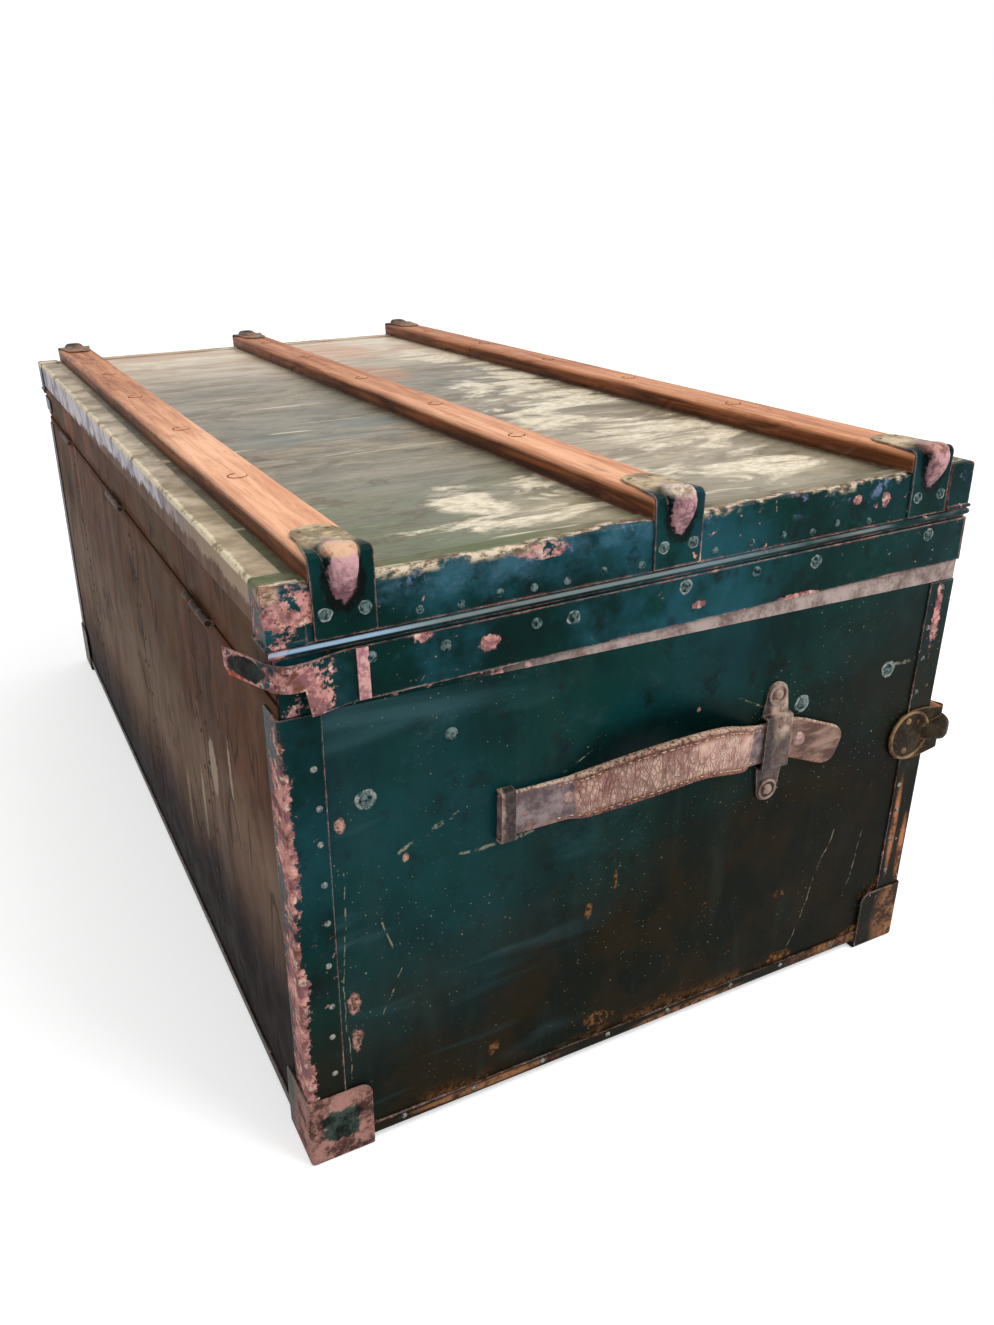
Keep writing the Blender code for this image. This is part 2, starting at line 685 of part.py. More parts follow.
def tongue_stations(top, bend):
    """The tongue on the slat: a round tip, then wider towards the bend while the nose rises."""
    up = (0, 1)
    tip = bend - TONGUE_LENGTH
    radius = TONGUE_WIDTH / 2
    stations = []
    for angle in TIP_ANGLES:
        a = math.radians(angle)
        seat = (tip + radius * (1 - math.cos(a)), top)
        stations.append((seat, up, TONGUE_WIDTH * math.sin(a), 0, NOSE_WIDTH))
    for share, height, width in NOSE_ON_SLAT:
        seat = (bend - NOSE_BACK * (1 - share), top)
        spread = TONGUE_WIDTH + (SLAT_WIDTH - TONGUE_WIDTH) * share
        stations.append((seat, up, spread, NOSE_PROUD * height, NOSE_WIDTH * width))
    return stations


def bend_stations(top, bend):
    """Round the slat's end, where the nose grows to almost its full height."""
    stations = []
    for angle, height, width in NOSE_ON_BEND:
        a = math.radians(angle)
        seat = (bend + CLAMP_BEND * math.sin(a), top - CLAMP_BEND * (1 - math.cos(a)))
        way = (math.sin(a), math.cos(a))
        stations.append((seat, way, SLAT_WIDTH, NOSE_PROUD * height, NOSE_WIDTH * width))
    return stations


def wall_stations(wall, start, drop, plate_width, rounded):
    """Down the end wall: the nose dies away, then the nailed plate ends square or round."""
    out = (1, 0)
    stations = []
    for share, height, width in NOSE_ON_WALL:
        spread = SLAT_WIDTH + (plate_width - SLAT_WIDTH) * share
        seat = (wall, start - NOSE_DROP * share)
        stations.append((seat, out, spread, NOSE_PROUD * height, NOSE_WIDTH * width))
    tip = stations[-1][-1]
    if not rounded:
        stations.append(((wall, -drop), out, plate_width, 0, tip))
        return stations
    radius = plate_width / 2
    for angle in reversed(TIP_ANGLES):
        a = math.radians(angle)
        seat = (wall, -drop + radius * (1 - math.cos(a)))
        stations.append((seat, out, plate_width * math.sin(a), 0, tip))
    return stations


def clamp_mesh(stations, place):
    """Loft through the stations: flat flanges either side of a rounded nose."""
    rings = []
    for (out, up), (way_out, way_up), width, height, nose in stations:
        nose_half = min(nose, width * NOSE_LIMIT) / 2
        half = [(width / 2, 0.0), (width / 2, CLAMP_SHEET)]
        half += [(nose_half * share, CLAMP_SHEET + height * rise) for share, rise in NOSE_SECTION]
        section = half + [(-v, k) for v, k in reversed(half)]
        rings.append([place(out + way_out * k, v, up + way_up * k) for v, k in section])
    return loft(rings)


def add_clamps(mats, base, lid):
    """A clamp on both ends of each slat."""
    lid_stations = clamp_stations(layer_in(2), LID_PLATE_DROP, LID_PLATE_WIDTH, False)
    front_stations = clamp_stations(layer_in(3), FRONT_PLATE_DROP, FRONT_PLATE_WIDTH, True)
    z = WOOD_BOTTOM + FRONT_SLAT_HEIGHT
    for end, side in (("near", -1), ("far", 1)):
        for row, y in lid_slat_rows().items():
            mesh = clamp_mesh(lid_stations, lambda u, v, h: (side * (HALF_L + u), y + v, LID_TOP + h))
            add(f"clamp_lid_{row}_{end}", mesh, mats["green_paint"], lid)
        mesh = clamp_mesh(front_stations, lambda u, v, h: (side * (HALF_L + u), -HALF_D - h, z + v))
        add(f"clamp_front_{end}", mesh, mats["green_paint"], base)


# Handles

def strap_point(y):
    """Centre line of a strap: out from the end, y, height."""
    bow_back = HANDLE_BACK_LOOP - BOW_FROM_LOOP
    bow_front = BOW_TO_LOOP - HANDLE_FRONT_LOOP
    t = min(max((bow_back - y) / (bow_back - bow_front), 0.0), 1.0)
    bump = math.sin(math.pi * t) ** 2
    flat = layer_in(2) + STRAP_STAND + TAB_THICK / 2
    out = flat + bump * STRAP_BOW + (strap_thickness(y) - TAB_THICK) / 2
    past = max(-HANDLE_FRONT_LOOP - DROOP_START - y, 0.0)
    fall = past ** 2 / (2 * DROOP_EASE) if past < DROOP_EASE else past - DROOP_EASE / 2
    droop = fall * math.tan(math.radians(TAB_DROOP))
    height = WOOD_BOTTOM + HANDLE_HEIGHT + bump * STRAP_RISE - droop
    return Vector((out, y, height))


def strap_share(y):
    """How far a place is from the thin tabs: 0 on them, 1 on the padded middle."""
    from_back = (HANDLE_BACK_LOOP - BOW_FROM_LOOP - y) / PAD_TAPER
    from_front = (y + HANDLE_FRONT_LOOP - PAD_TO_LOOP) / PAD_TAPER
    share = min(max(min(from_back, from_front), 0.0), 1.0)
    return share * share * (3 - 2 * share)


def strap_thickness(y):
    """Thickness of the leather at a place."""
    return TAB_THICK + (STRAP_THICK - TAB_THICK) * strap_share(y)


def strap_width(y, tip):
    """Width of the leather, drawn in to a blunt round end at the front tab's tip."""
    width = TAB_WIDTH + (STRAP_WIDTH - TAB_WIDTH) * strap_share(y)
    from_tip = y - tip
    if from_tip < TIP_ROUND:
        bulge = math.sqrt(max(1 - (1 - from_tip / TIP_ROUND) ** 2, 0.0))
        width *= TIP_BLUNT + (1 - TIP_BLUNT) * bulge
    return width


def strap_rings():
    """Sections of the strap from its back tab to its front tab."""
    first = HANDLE_BACK_LOOP + BACK_LOOP_WIDTH / 2
    last = -HANDLE_FRONT_LOOP - FRONT_LOOP_WIDTH / 2 - TAB_PAST_LOOP
    places = [first + (last - first) * i / STRAP_STEPS for i in range(STRAP_STEPS + 1)]
    places.insert(-1, last + TIP_ROUND / 5)
    rings = []
    for y in places:
        along = (strap_point(y - SHEET) - strap_point(y + SHEET)).normalized()
        wide = (Vector((0, 0, 1)) - along * along.z).normalized()
        thick = along.cross(wide)
        half_w, half_t = strap_width(y, last) / 2, strap_thickness(y) / 2
        ring = []
        for corner_w, corner_t in strap_section():
            ring.append(strap_point(y) + wide * half_w * corner_w + thick * half_t * corner_t)
        rings.append(ring)
    return rings


def strap_section():
    """Unit section of the leather: flat faces with softly rounded edges."""
    upper = [*STRAP_EDGE, *((w, -t) for w, t in reversed(STRAP_EDGE))]
    return upper + [(-w, -t) for w, t in upper]


def add_handles(mats, carriers):
    """A strap on each end, with a stud that stops its front tab at the loop."""
    stud_y = -HANDLE_FRONT_LOOP - FRONT_LOOP_WIDTH / 2 - STUD_CLEAR - STUD_RADIUS
    centre = strap_point(stud_y)
    top = centre.x + TAB_THICK / 2 + STUD_HEIGHT
    for name, side in (("near", -1), ("far", 1)):
        mesh = loft(strap_rings())
        stud = rod(STUD_RADIUS, centre, (top, centre.y, centre.z), tip_radius=STUD_RADIUS * STUD_TAPER)
        mesh = combine(mesh, [stud], "UNION")
        bmesh.ops.transform(mesh, matrix=Matrix.Diagonal((side, 1, 1, 1)), verts=mesh.verts)
        bmesh.ops.translate(mesh, vec=(side * HALF_L, 0, 0), verts=mesh.verts)
        add(f"handle_{name}", mesh, mats["leather"], carriers[name])


def loop_profile(slack, ear_top, ear_bottom):
    """Side view of a loop of strip round the strap, as (out from the end, height)."""
    seat = layer_in(2)
    reach = seat + STRAP_STAND + TAB_THICK + LOOP_CLEAR
    z = WOOD_BOTTOM + HANDLE_HEIGHT
    half = TAB_WIDTH / 2 + slack
    bend, strip = LOOP_BEND, LOOP_STRIP
    outside = [*arc((reach + strip - bend, z + half + strip - bend), bend, 90, 0, FOLD_STEPS),
               *arc((reach + strip - bend, z - half - strip + bend), bend, 0, -90, FOLD_STEPS)]
    inside = [(reach, z - half), (reach, z + half)]
    upper = [(seat, z + half), (seat, z + half + ear_top)]
    lower = [(seat, z - half - ear_bottom), (seat, z - half)]
    if ear_top > strip:
        upper += [(seat + strip, z + half + ear_top), (seat + strip, z + half + strip)]
        lower = [(seat + strip, z - half - strip), (seat + strip, z - half - ear_bottom)] + lower
    return inside + upper + outside + lower


def add_loops(mats, base):
    """Front loops with riveted ears that narrow to their ends, and narrow back loops with driven legs."""
    kinds = (("front", -HANDLE_FRONT_LOOP, FRONT_LOOP_WIDTH, FRONT_LOOP_SLACK, LOOP_EAR_TOP, LOOP_EAR_BOTTOM),
             ("back", HANDLE_BACK_LOOP, BACK_LOOP_WIDTH, BACK_LOOP_SLACK, LOOP_STRIP, LOOP_STRIP))
    for end, side in (("near", -1), ("far", 1)):
        for kind, y, width, slack, ear_top, ear_bottom in kinds:
            profile = loop_profile(slack, ear_top, ear_bottom)
            rings = [[(side * (HALF_L + out), y + shift, z) for out, z in profile]
                     for shift in (-width / 2, width / 2)]
            mesh = loft(rings)
            if ear_top > LOOP_STRIP:
                tips = {round(max(z for _, z in profile), 6), round(min(z for _, z in profile), 6)}
                for vert in mesh.verts:
                    if round(vert.co.z, 6) in tips:
                        vert.co.y = y + (vert.co.y - y) * EAR_WIDTH / width
                bevel(mesh, lambda a, b: is_ear_corner(a, b, tips), EAR_ROUND)
            add(f"handle_loop_{end}_{kind}", mesh, mats["bare_iron"], base)


def is_ear_corner(a, b, tips):
    """True for the short edges at the four corners of a loop's ears."""
    level = round(a.z, 6) in tips and round(b.z, 6) in tips
    return level and abs(a.y - b.y) < 1e-6


# Hinges

def add_hinges(mats, base, lid):
    """Three butt hinges: leaves let into the seam, knuckles behind the trunk."""
    for name, x in hinge_places().items():
        add(f"hinge_base_{name}", hinge_base_leaf(x), mats["bare_iron"], base)
        add(f"hinge_lid_{name}", hinge_lid_leaf(x), mats["bare_iron"], lid)


def hinge_plate(x, low, high, own_ranges):
    """The flat of a leaf, with tongues that reach its own knuckles."""
    half = HINGE_WIDTH / 2
    plate = box((x - half, HALF_D - HINGE_LEAF_DEPTH, low),
                (x + half, HINGE_Y - KNUCKLE_RADIUS - HINGE_RUN, high))
    start = HALF_D - HINGE_LEAF_DEPTH / 2
    tongues = [box((x + left, start, low), (x + right, HINGE_Y - HINGE_PIN / 2, high))
               for left, right in own_ranges]
    return combine(plate, tongues, "UNION")


def knuckle(x, left, right, radius):
    """A stretch of barrel on the hinge axis."""
    return rod(radius, (x + left, HINGE_Y, SEAM), (x + right, HINGE_Y, SEAM))


def hinge_base_leaf(x):
    """Lower leaf with the two outer knuckles and the pin."""
    half, middle = HINGE_WIDTH / 2, KNUCKLE_MIDDLE / 2 + HINGE_RUN
    ranges = ((-half, -middle), (middle, half))
    mesh = hinge_plate(x, BASE_TOP - HINGE_LEAF, BASE_TOP, ranges)
    barrels = [knuckle(x, left, right, KNUCKLE_RADIUS) for left, right in ranges]
    pin = knuckle(x, -middle - HINGE_PIN, middle + HINGE_PIN, HINGE_PIN)
    return combine(mesh, [*barrels, pin], "UNION")


def hinge_lid_leaf(x):
    """Upper leaf with the middle knuckle, bored for the pin."""
    middle = KNUCKLE_MIDDLE / 2
    mesh = hinge_plate(x, LID_BOTTOM, LID_BOTTOM + HINGE_LEAF, ((-middle, middle),))
    mesh = combine(mesh, [knuckle(x, -middle, middle, KNUCKLE_RADIUS)], "UNION")
    bore = knuckle(x, -middle - BOARD, middle + BOARD, HINGE_PIN + HINGE_RUN)
    return combine(mesh, [bore], "DIFFERENCE")


# Lock

HASP_Y = -HALF_D - layer_in(3) - HASP_KNUCKLE
HASP_Z = VALANCE_TOP - LEAF_TOP_SPARE - LEAF_HEIGHT - HASP_KNUCKLE - 2 * FIT


def add_lock(mats, base, lid, hasp_axis):
    """Lock plate on the base; leaf and hasp on the lid. The notch takes the hasp's staple."""
    add("lock_plate", lock_plate(), mats["bare_iron"], base)
    add("hasp_leaf", hasp_leaf(), mats["bare_iron"], lid)
    add("hasp", hasp(), mats["bare_iron"], hasp_axis)


def lock_plate():
    """Plate with a keyhole and an open notch, wide and deep enough for the staple to drop in."""
    top = SEAM - LOCK_BELOW_SEAM
    face = -HALF_D - layer_in(2)
    half = LOCK_WIDTH / 2
    mesh = box((-half, face - LOCK_THICK, top - LOCK_HEIGHT), (half, face, top))
    low = top - LOCK_HEIGHT
    near = 1e-6
    bevel(mesh, lambda a, b: abs(a.z - low) < near and abs(b.z - low) < near and abs(a.x - b.x) < near,
          LOCK_ROUND)
    wide = STAPLE_WIDTH / 2 + NOTCH_CLEAR
    notch = box((-wide, face - 2 * LOCK_THICK, staple_low() - NOTCH_CLEAR),
                (wide, face + LOCK_THICK, top + BOARD))
    eye = low + KEYHOLE_HEIGHT
    back, front = face + LOCK_THICK, face - 2 * LOCK_THICK
    keyhole = rod(KEYHOLE_RADIUS, (0, front, eye), (0, back, eye))
    slot = box((-KEYHOLE_SLOT / 2, front, eye - KEYHOLE_LENGTH), (KEYHOLE_SLOT / 2, back, eye))
    return combine(mesh, [notch, keyhole, slot], "DIFFERENCE")


def staple_low():
    """Lower edge of the staple when the lid is shut."""
    return HASP_Z - HASP_LENGTH + STAPLE_FROM_TIP


def hasp_leaf():
    """Leaf on the valance with two outer knuckles and the hasp's pin."""
    half, middle = LEAF_WIDTH / 2, HASP_MIDDLE / 2 + FIT
    face = -HALF_D - layer_in(3)
    low = HASP_Z + HASP_KNUCKLE + 2 * FIT
    plate = box((-half, face - CLAMP_SHEET, low), (half, face, low + LEAF_HEIGHT))
    parts = []
    for left, right in ((-half, -middle), (middle, half)):
        parts.append(rod(HASP_KNUCKLE, (left, HASP_Y, HASP_Z), (right, HASP_Y, HASP_Z)))
        parts.append(box((left, face - CLAMP_SHEET, HASP_Z), (right, face, low + LEAF_HEIGHT / 2)))
    parts.append(rod(HASP_PIN, (-middle - HASP_PIN, HASP_Y, HASP_Z), (middle + HASP_PIN, HASP_Y, HASP_Z)))
    return combine(plate, parts, "UNION")


def hasp():
    """Hanging hasp with a staple on its back that drops into the lock plate's notch."""
    inner = -HALF_D - layer_in(2) - LOCK_THICK - HASP_CLEAR
    half, middle = HASP_WIDTH / 2, HASP_MIDDLE / 2
    tip = HASP_Z - HASP_LENGTH
    shoulder = HASP_Z - HASP_KNUCKLE - FIT
    mesh = box((-half, inner - HASP_THICK, tip), (half, inner, shoulder))
    near = 1e-6
    bevel(mesh, lambda a, b: abs(a.z - tip) < near and abs(b.z - tip) < near and abs(a.x - b.x) < near,
          HASP_ROUND)
    barrel = rod(HASP_KNUCKLE, (-middle, HASP_Y, HASP_Z), (middle, HASP_Y, HASP_Z))
    neck = box((-middle, inner - HASP_THICK, shoulder - HASP_THICK), (middle, inner, HASP_Z))
    wide = STAPLE_WIDTH / 2
    low = staple_low()
    depth = inner + LOCK_THICK - HASP_CLEAR / 2
    staple = box((-wide, inner - HASP_THICK / 2, low), (wide, depth, low + STAPLE_HEIGHT))
    mesh = combine(mesh, [barrel, neck, staple], "UNION")
    ends = middle + BOARD
    bore = rod(HASP_PIN + FIT, (-ends, HASP_Y, HASP_Z), (ends, HASP_Y, HASP_Z))
    return combine(mesh, [bore], "DIFFERENCE")


# The whole trunk

def clear_scene():
    """Start from nothing."""
    for obj in list(bpy.data.objects):
        bpy.data.objects.remove(obj)


def stand_on_origin(trunk):
    """Move the whole trunk so that the origin is under its middle, on the floor."""
    bpy.context.view_layer.update()
    points = []
    for obj in bpy.data.objects:
        if obj.type == "MESH":
            points += [obj.matrix_world @ vertex.co for vertex in obj.data.vertices]
    low = Vector([min(p[i] for p in points) for i in range(3)])
    high = Vector([max(p[i] for p in points) for i in range(3)])
    trunk.location = (-(low.x + high.x) / 2, -(low.y + high.y) / 2, -low.z)
    bpy.context.view_layer.update()


def build():
    """Model every piece on its carrier."""
    clear_scene()
    mats = make_materials()
    trunk = empty("trunk", (0, 0, 0), None)
    base = empty("base", (0, 0, 0), trunk)
    lid = empty("lid_axis", (0, HINGE_Y, SEAM), base)
    lid.rotation_euler.x = -math.radians(LID_AJAR)
    hasp_axis = empty("hasp_axis", (0, HASP_Y - HINGE_Y, HASP_Z - SEAM), lid)
    add_carcass(mats, base, lid)
    add_base_sheets(mats, base)
    add_bottom_pan(mats, base)
    add_rim_band(mats, base)
    add_corner_bindings(mats, base)
    add_shoes(mats, base)
    add_lid_sheets(mats, lid)
    add_lid_bindings(mats, lid)
    add_valances(mats, lid)
    add_slats(mats, base, lid)
    add_clamps(mats, base, lid)
    add_handles(mats, {"near": base, "far": base})
    add_loops(mats, base)
    add_hinges(mats, base, lid)
    add_lock(mats, base, lid, hasp_axis)
    stand_on_origin(trunk)
    for name, obj in (("origin of the drawing", trunk), ("lid axis", lid), ("hasp axis", hasp_axis)):
        print(name, [round(value, 5) for value in obj.matrix_world.translation])


build()
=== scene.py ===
"""Looks of the cabin trunk: worn paint over sheet iron, wooden slats, cracked leather handles."""
import json
import math
import random

import bmesh
import bpy
from mathutils import Matrix, Vector, noise


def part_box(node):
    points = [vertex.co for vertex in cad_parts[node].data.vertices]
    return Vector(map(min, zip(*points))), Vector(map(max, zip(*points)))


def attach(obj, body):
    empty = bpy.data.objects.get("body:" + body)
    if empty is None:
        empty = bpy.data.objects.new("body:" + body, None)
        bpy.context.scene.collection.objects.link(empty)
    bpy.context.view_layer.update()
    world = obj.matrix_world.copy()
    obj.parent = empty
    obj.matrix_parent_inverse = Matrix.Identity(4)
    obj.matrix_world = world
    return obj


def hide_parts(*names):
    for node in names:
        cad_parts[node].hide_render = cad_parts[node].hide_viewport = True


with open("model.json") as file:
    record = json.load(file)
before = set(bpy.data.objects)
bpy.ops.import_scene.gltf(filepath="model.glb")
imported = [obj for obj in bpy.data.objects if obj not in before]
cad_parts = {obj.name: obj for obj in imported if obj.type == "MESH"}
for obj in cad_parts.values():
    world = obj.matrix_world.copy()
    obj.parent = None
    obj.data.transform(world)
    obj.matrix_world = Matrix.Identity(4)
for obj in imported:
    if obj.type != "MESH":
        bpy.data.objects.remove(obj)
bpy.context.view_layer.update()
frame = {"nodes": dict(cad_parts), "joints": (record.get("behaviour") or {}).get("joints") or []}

# Camera, from the fit of the trunk's corners to the photograph
CAMERA_PLACE = Vector((-0.9486, 0.3876, 0.5656))
CAMERA_AHEAD = Vector((0.8081, -0.4344, -0.3978))
CAMERA_RIGHT = Vector((-0.4707, -0.8823, 0.0072))
PHOTO_SIZE = (994, 1325)
FOCAL_PIXELS = 1052.3
SENSOR_HEIGHT = 24.0

# Light
WHITE = (1.0, 1.0, 1.0, 1.0)
WORLD_STRENGTH = 0.80
FLOOR_COLOUR = (0.80, 0.80, 0.80, 1.0)
FLOOR_GLOW = 0.45
FLOOR_HALF = 12.0

# Places of the trunk, in metres; those on the lid are for the shut lid
lid_joint = next(j for j in frame["joints"] if j["name"] == "lid_hinge")
LID_AXIS = Vector(lid_joint["pos_m"])
AJAR = math.radians(-lid_joint["range_deg"][0])
SHUT_TO_REST = Matrix.Translation(LID_AXIS) @ Matrix.Rotation(-AJAR, 4, "X") @ Matrix.Translation(-LID_AXIS)
wood_low, wood_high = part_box("base_board_bottom")
HALF_L = wood_high.x
HALF_D = (wood_high.y - wood_low.y) / 2
MIDDLE_Y = (wood_high.y + wood_low.y) / 2
SEAM = LID_AXIS.z
LAYER = 0.0013
LID_HEIGHT, SLAT_STAND = 0.0594, 0.0161
LID_TOP = SEAM + LID_HEIGHT
SLAT_TOP = LID_TOP + SLAT_STAND
BACK_Y = MIDDLE_Y + HALF_D
VALANCE_LOW, VALANCE_HIGH = SEAM - 0.0085, SEAM + 0.0230
BEAD = SEAM + 0.0275
BINDING_ROW = BEAD + 0.0085
ROWS = (0.213, 0.0, -0.213)
BACK_SEAMS = (-0.263, -0.045, 0.275)
STRAP_Z = 0.2243


# Colours, written as they look, 0 to 255

def srgb(red, green, blue):
    """A colour as the renderer's linear value."""
    parts = [value / 255 for value in (red, green, blue)]
    return (*[v / 12.92 if v <= 0.04045 else ((v + 0.055) / 1.055) ** 2.4 for v in parts], 1.0)


TEAL_DEEP = (0, 28, 26)
TEAL = (0, 42, 38)
# Painted sheen: the lighter bluish teal laid over the paint
TEAL_SHEEN = (24, 69, 79)
GRIME = (9, 15, 13)
PINK = (192, 138, 130)
MAUVE = (124, 84, 86)
CREAM = (216, 196, 172)
RUST = (132, 72, 42)
RUST_DARK = (54, 30, 22)
EDGE_PALE = (168, 160, 156)
EDGE_TAN = (172, 150, 132)
IRON_DARK = (38, 32, 31)
# The front clamps' dark iron and rubbed edges
FRONT_CLAMP = ((26, 20, 14), (160, 128, 88))
# Old paint is dull: it mirrors far less than new enamel
DULL = 0.04
DULLER = 0.015
GLOSSY = 0.15


# Materials

class Finish:
    """One procedural material, drawn in the metres of the shut trunk."""

    def __init__(self, name, lid=False):
        self.material = bpy.data.materials.new(name)
        self.material.use_nodes = True
        self.tree = self.material.node_tree
        self.tree.nodes.clear()
        self.shader = self.node("ShaderNodeBsdfPrincipled")
        out = self.node("ShaderNodeOutputMaterial")
        self.tree.links.new(self.shader.outputs[0], out.inputs[0])
        self.place = self.node("ShaderNodeTexCoord").outputs["Object"]
        if lid:
            turn = self.node("ShaderNodeVectorRotate", rotation_type="X_AXIS")
            turn.inputs["Center"].default_value = LID_AXIS
            turn.inputs["Angle"].default_value = AJAR
            self.put(turn.inputs["Vector"], self.place)
            self.place = turn.outputs["Vector"]
        split = self.node("ShaderNodeSeparateXYZ")
        self.put(split.inputs[0], self.place)
        self.x, self.y, self.z = split.outputs
        self.bend = (0, 0, 0)

    def node(self, kind, **settings):
        """A new node."""
        node = self.tree.nodes.new(kind)
        for key, value in settings.items():
            setattr(node, key, value)
        return node

    def put(self, socket, value):
        """Link a socket, or set a plain value."""
        if isinstance(value, bpy.types.NodeSocket):
            self.tree.links.new(value, socket)
        else:
            socket.default_value = value

    def calc(self, operation, *values, clamp=False):
        """A Math node."""
        node = self.node("ShaderNodeMath", operation=operation, use_clamp=clamp)
        for socket, value in zip(node.inputs, values):
            self.put(socket, value)
        return node.outputs[0]

    def vector(self, operation, *values):
        """A Vector Math node."""
        node = self.node("ShaderNodeVectorMath", operation=operation)
        for socket, value in zip(node.inputs, values):
            self.put(socket, value)
        return node.outputs["Value" if operation in ("LENGTH", "DOT_PRODUCT", "DISTANCE") else "Vector"]

    def ramp(self, value, start, stop):
        """0 at start and 1 at stop, smooth between; start may be the larger."""
        node = self.node("ShaderNodeMapRange", interpolation_type="SMOOTHSTEP")
        self.put(node.inputs["Value"], value)
        node.inputs["From Min"].default_value = min(start, stop)
        node.inputs["From Max"].default_value = max(start, stop)
        node.inputs["To Min"].default_value = 0.0 if start < stop else 1.0
        node.inputs["To Max"].default_value = 1.0 if start < stop else 0.0
        return node.outputs["Result"]

    def times(self, *values):
        """Product."""
        total = values[0]
        for value in values[1:]:
            total = self.calc("MULTIPLY", total, value)
        return total

    def plus(self, *values):
        """Sum."""
        total = values[0]
        for value in values[1:]:
            total = self.calc("ADD", total, value)
        return total

    def most(self, *values):
        """Largest."""
        total = values[0]
        for value in values[1:]:
            total = self.calc("MAXIMUM", total, value)
        return total

    def mapped(self, stretch, shift):
        """The place, stretched and shifted."""
        node = self.node("ShaderNodeMapping")
        self.put(node.inputs["Vector"], self.place)
        node.inputs["Scale"].default_value = stretch
        node.inputs["Location"].default_value = (shift, shift * 1.7, shift * 0.6)
        return node.outputs["Vector"]

    def noise(self, scale, detail=3.0, rough=0.55, stretch=(1, 1, 1), shift=0.0, twist=0.0):
        """Noise with scale cycles in a metre."""
        node = self.node("ShaderNodeTexNoise")
        self.put(node.inputs["Vector"], self.mapped(stretch, shift))
        settings = {"Scale": scale, "Detail": detail, "Roughness": rough, "Distortion": twist}
        for key, value in settings.items():
            node.inputs[key].default_value = value
        return node.outputs["Fac"]

    def cells(self, scale, stretch=(1, 1, 1), shift=0.0, feature="F1"):
        """Distance in a pattern of cells."""
        node = self.node("ShaderNodeTexVoronoi", feature=feature)
        self.put(node.inputs["Vector"], self.mapped(stretch, shift))
        node.inputs["Scale"].default_value = scale
        return node.outputs["Distance"]

    def mix(self, share, first, second):
        """From the first colour to the second."""
        node = self.node("ShaderNodeMix", data_type="RGBA")
        self.put(node.inputs[0], share)
        for socket, colour in ((node.inputs[6], first), (node.inputs[7], second)):
            self.put(socket, srgb(*colour) if isinstance(colour, tuple) else colour)
        return node.outputs[2]

    def blend(self, value, start, stop, first, second):
        """The first colour where a value is at start, the second where it is at stop."""
        return self.mix(self.ramp(value, start, stop), first, second)

    def over(self, under, paint, *shares):
        """A colour painted over another, as thick as the product of the shares."""
        return self.mix(self.times(*shares), under, paint)

    def spots(self, start, stop, *scale, **pattern):
        """A noise drawn apart: 0 where it is at start and 1 where it is at stop."""
        return self.ramp(self.noise(*scale, **pattern), start, stop)

    def centred(self, value, amount):
        """Noise moved about zero and scaled."""
        return self.times(self.calc("SUBTRACT", value, 0.5), amount)

    def apart(self, value, other):
        """How far two values lie apart."""
        return self.calc("ABSOLUTE", self.calc("SUBTRACT", value, other))

    def edges(self, radius):
        """About 0.3 at square edges, falling to 0 a radius away."""
        bevel = self.node("ShaderNodeBevel", samples=6)
        bevel.inputs["Radius"].default_value = radius
        normal = self.node("ShaderNodeNewGeometry").outputs["Normal"]
        return self.calc("SUBTRACT", 1.0, self.vector("DOT_PRODUCT", bevel.outputs[0], normal), clamp=True)

    def blob(self, centre, radii, wobble, soft):
        """1 inside a ragged patch, 0 outside."""
        offset = self.vector("SUBTRACT", self.place, centre)
        scaled = self.vector("MULTIPLY", offset, tuple(1 / r for r in radii))
        return self.ramp(self.plus(self.vector("LENGTH", scaled), wobble), 1 + soft, 1 - soft)

    def blobs(self, patches, wobble, soft=0.12):
        """Largest of several ragged patches."""
        return self.most(*[self.blob(centre, radii, wobble, soft) for centre, radii in patches])

    def lines(self, scale, width, shift=0.0, stretch=(1, 1, 1)):
        """Thin winding lines, where a noise passes through its middle."""
        level = self.noise(scale, 2, 0.5, stretch=stretch, shift=shift)
        return self.ramp(self.apart(level, 0.5), width, width * 0.3)

    def scratch(self, start, stop, width, wobble):
        """1 on a thin broken scratch between two places of an end wall, given as y and z."""
        flat = self.vector("MULTIPLY", self.vector("ADD", self.place, self.bend), (0, 1, 1))
        first, way = Vector((0, *start)), Vector((0, stop[0] - start[0], stop[1] - start[1]))
        offset = self.vector("SUBTRACT", flat, first)
        share = self.calc("MULTIPLY", self.vector("DOT_PRODUCT", offset, way / way.length_squared), 1.0,
                          clamp=True)
        gap = self.vector("LENGTH", self.vector("SUBTRACT", offset, self.vector("MULTIPLY", share, way)))
        return self.ramp(self.plus(gap, self.times(wobble, width)), width, width * 0.3)

    def bump(self, height, distance):
        """A bump node chained to the last one."""
        node = self.node("ShaderNodeBump")
        node.inputs["Distance"].default_value = distance
        self.put(node.inputs["Height"], height)
        if self.shader.inputs["Normal"].is_linked:
            self.put(node.inputs["Normal"], self.shader.inputs["Normal"].links[0].from_socket)
        self.put(self.shader.inputs["Normal"], node.outputs[0])

    def done(self, colour, roughness, metallic=0.0, specular=DULL):
        """Set the shader and hand the material over."""
        for key, value in (("Base Color", colour), ("Roughness", roughness), ("Metallic", metallic),
                           ("Specular IOR Level", specular)):
            self.put(self.shader.inputs[key], value)
        return self.material


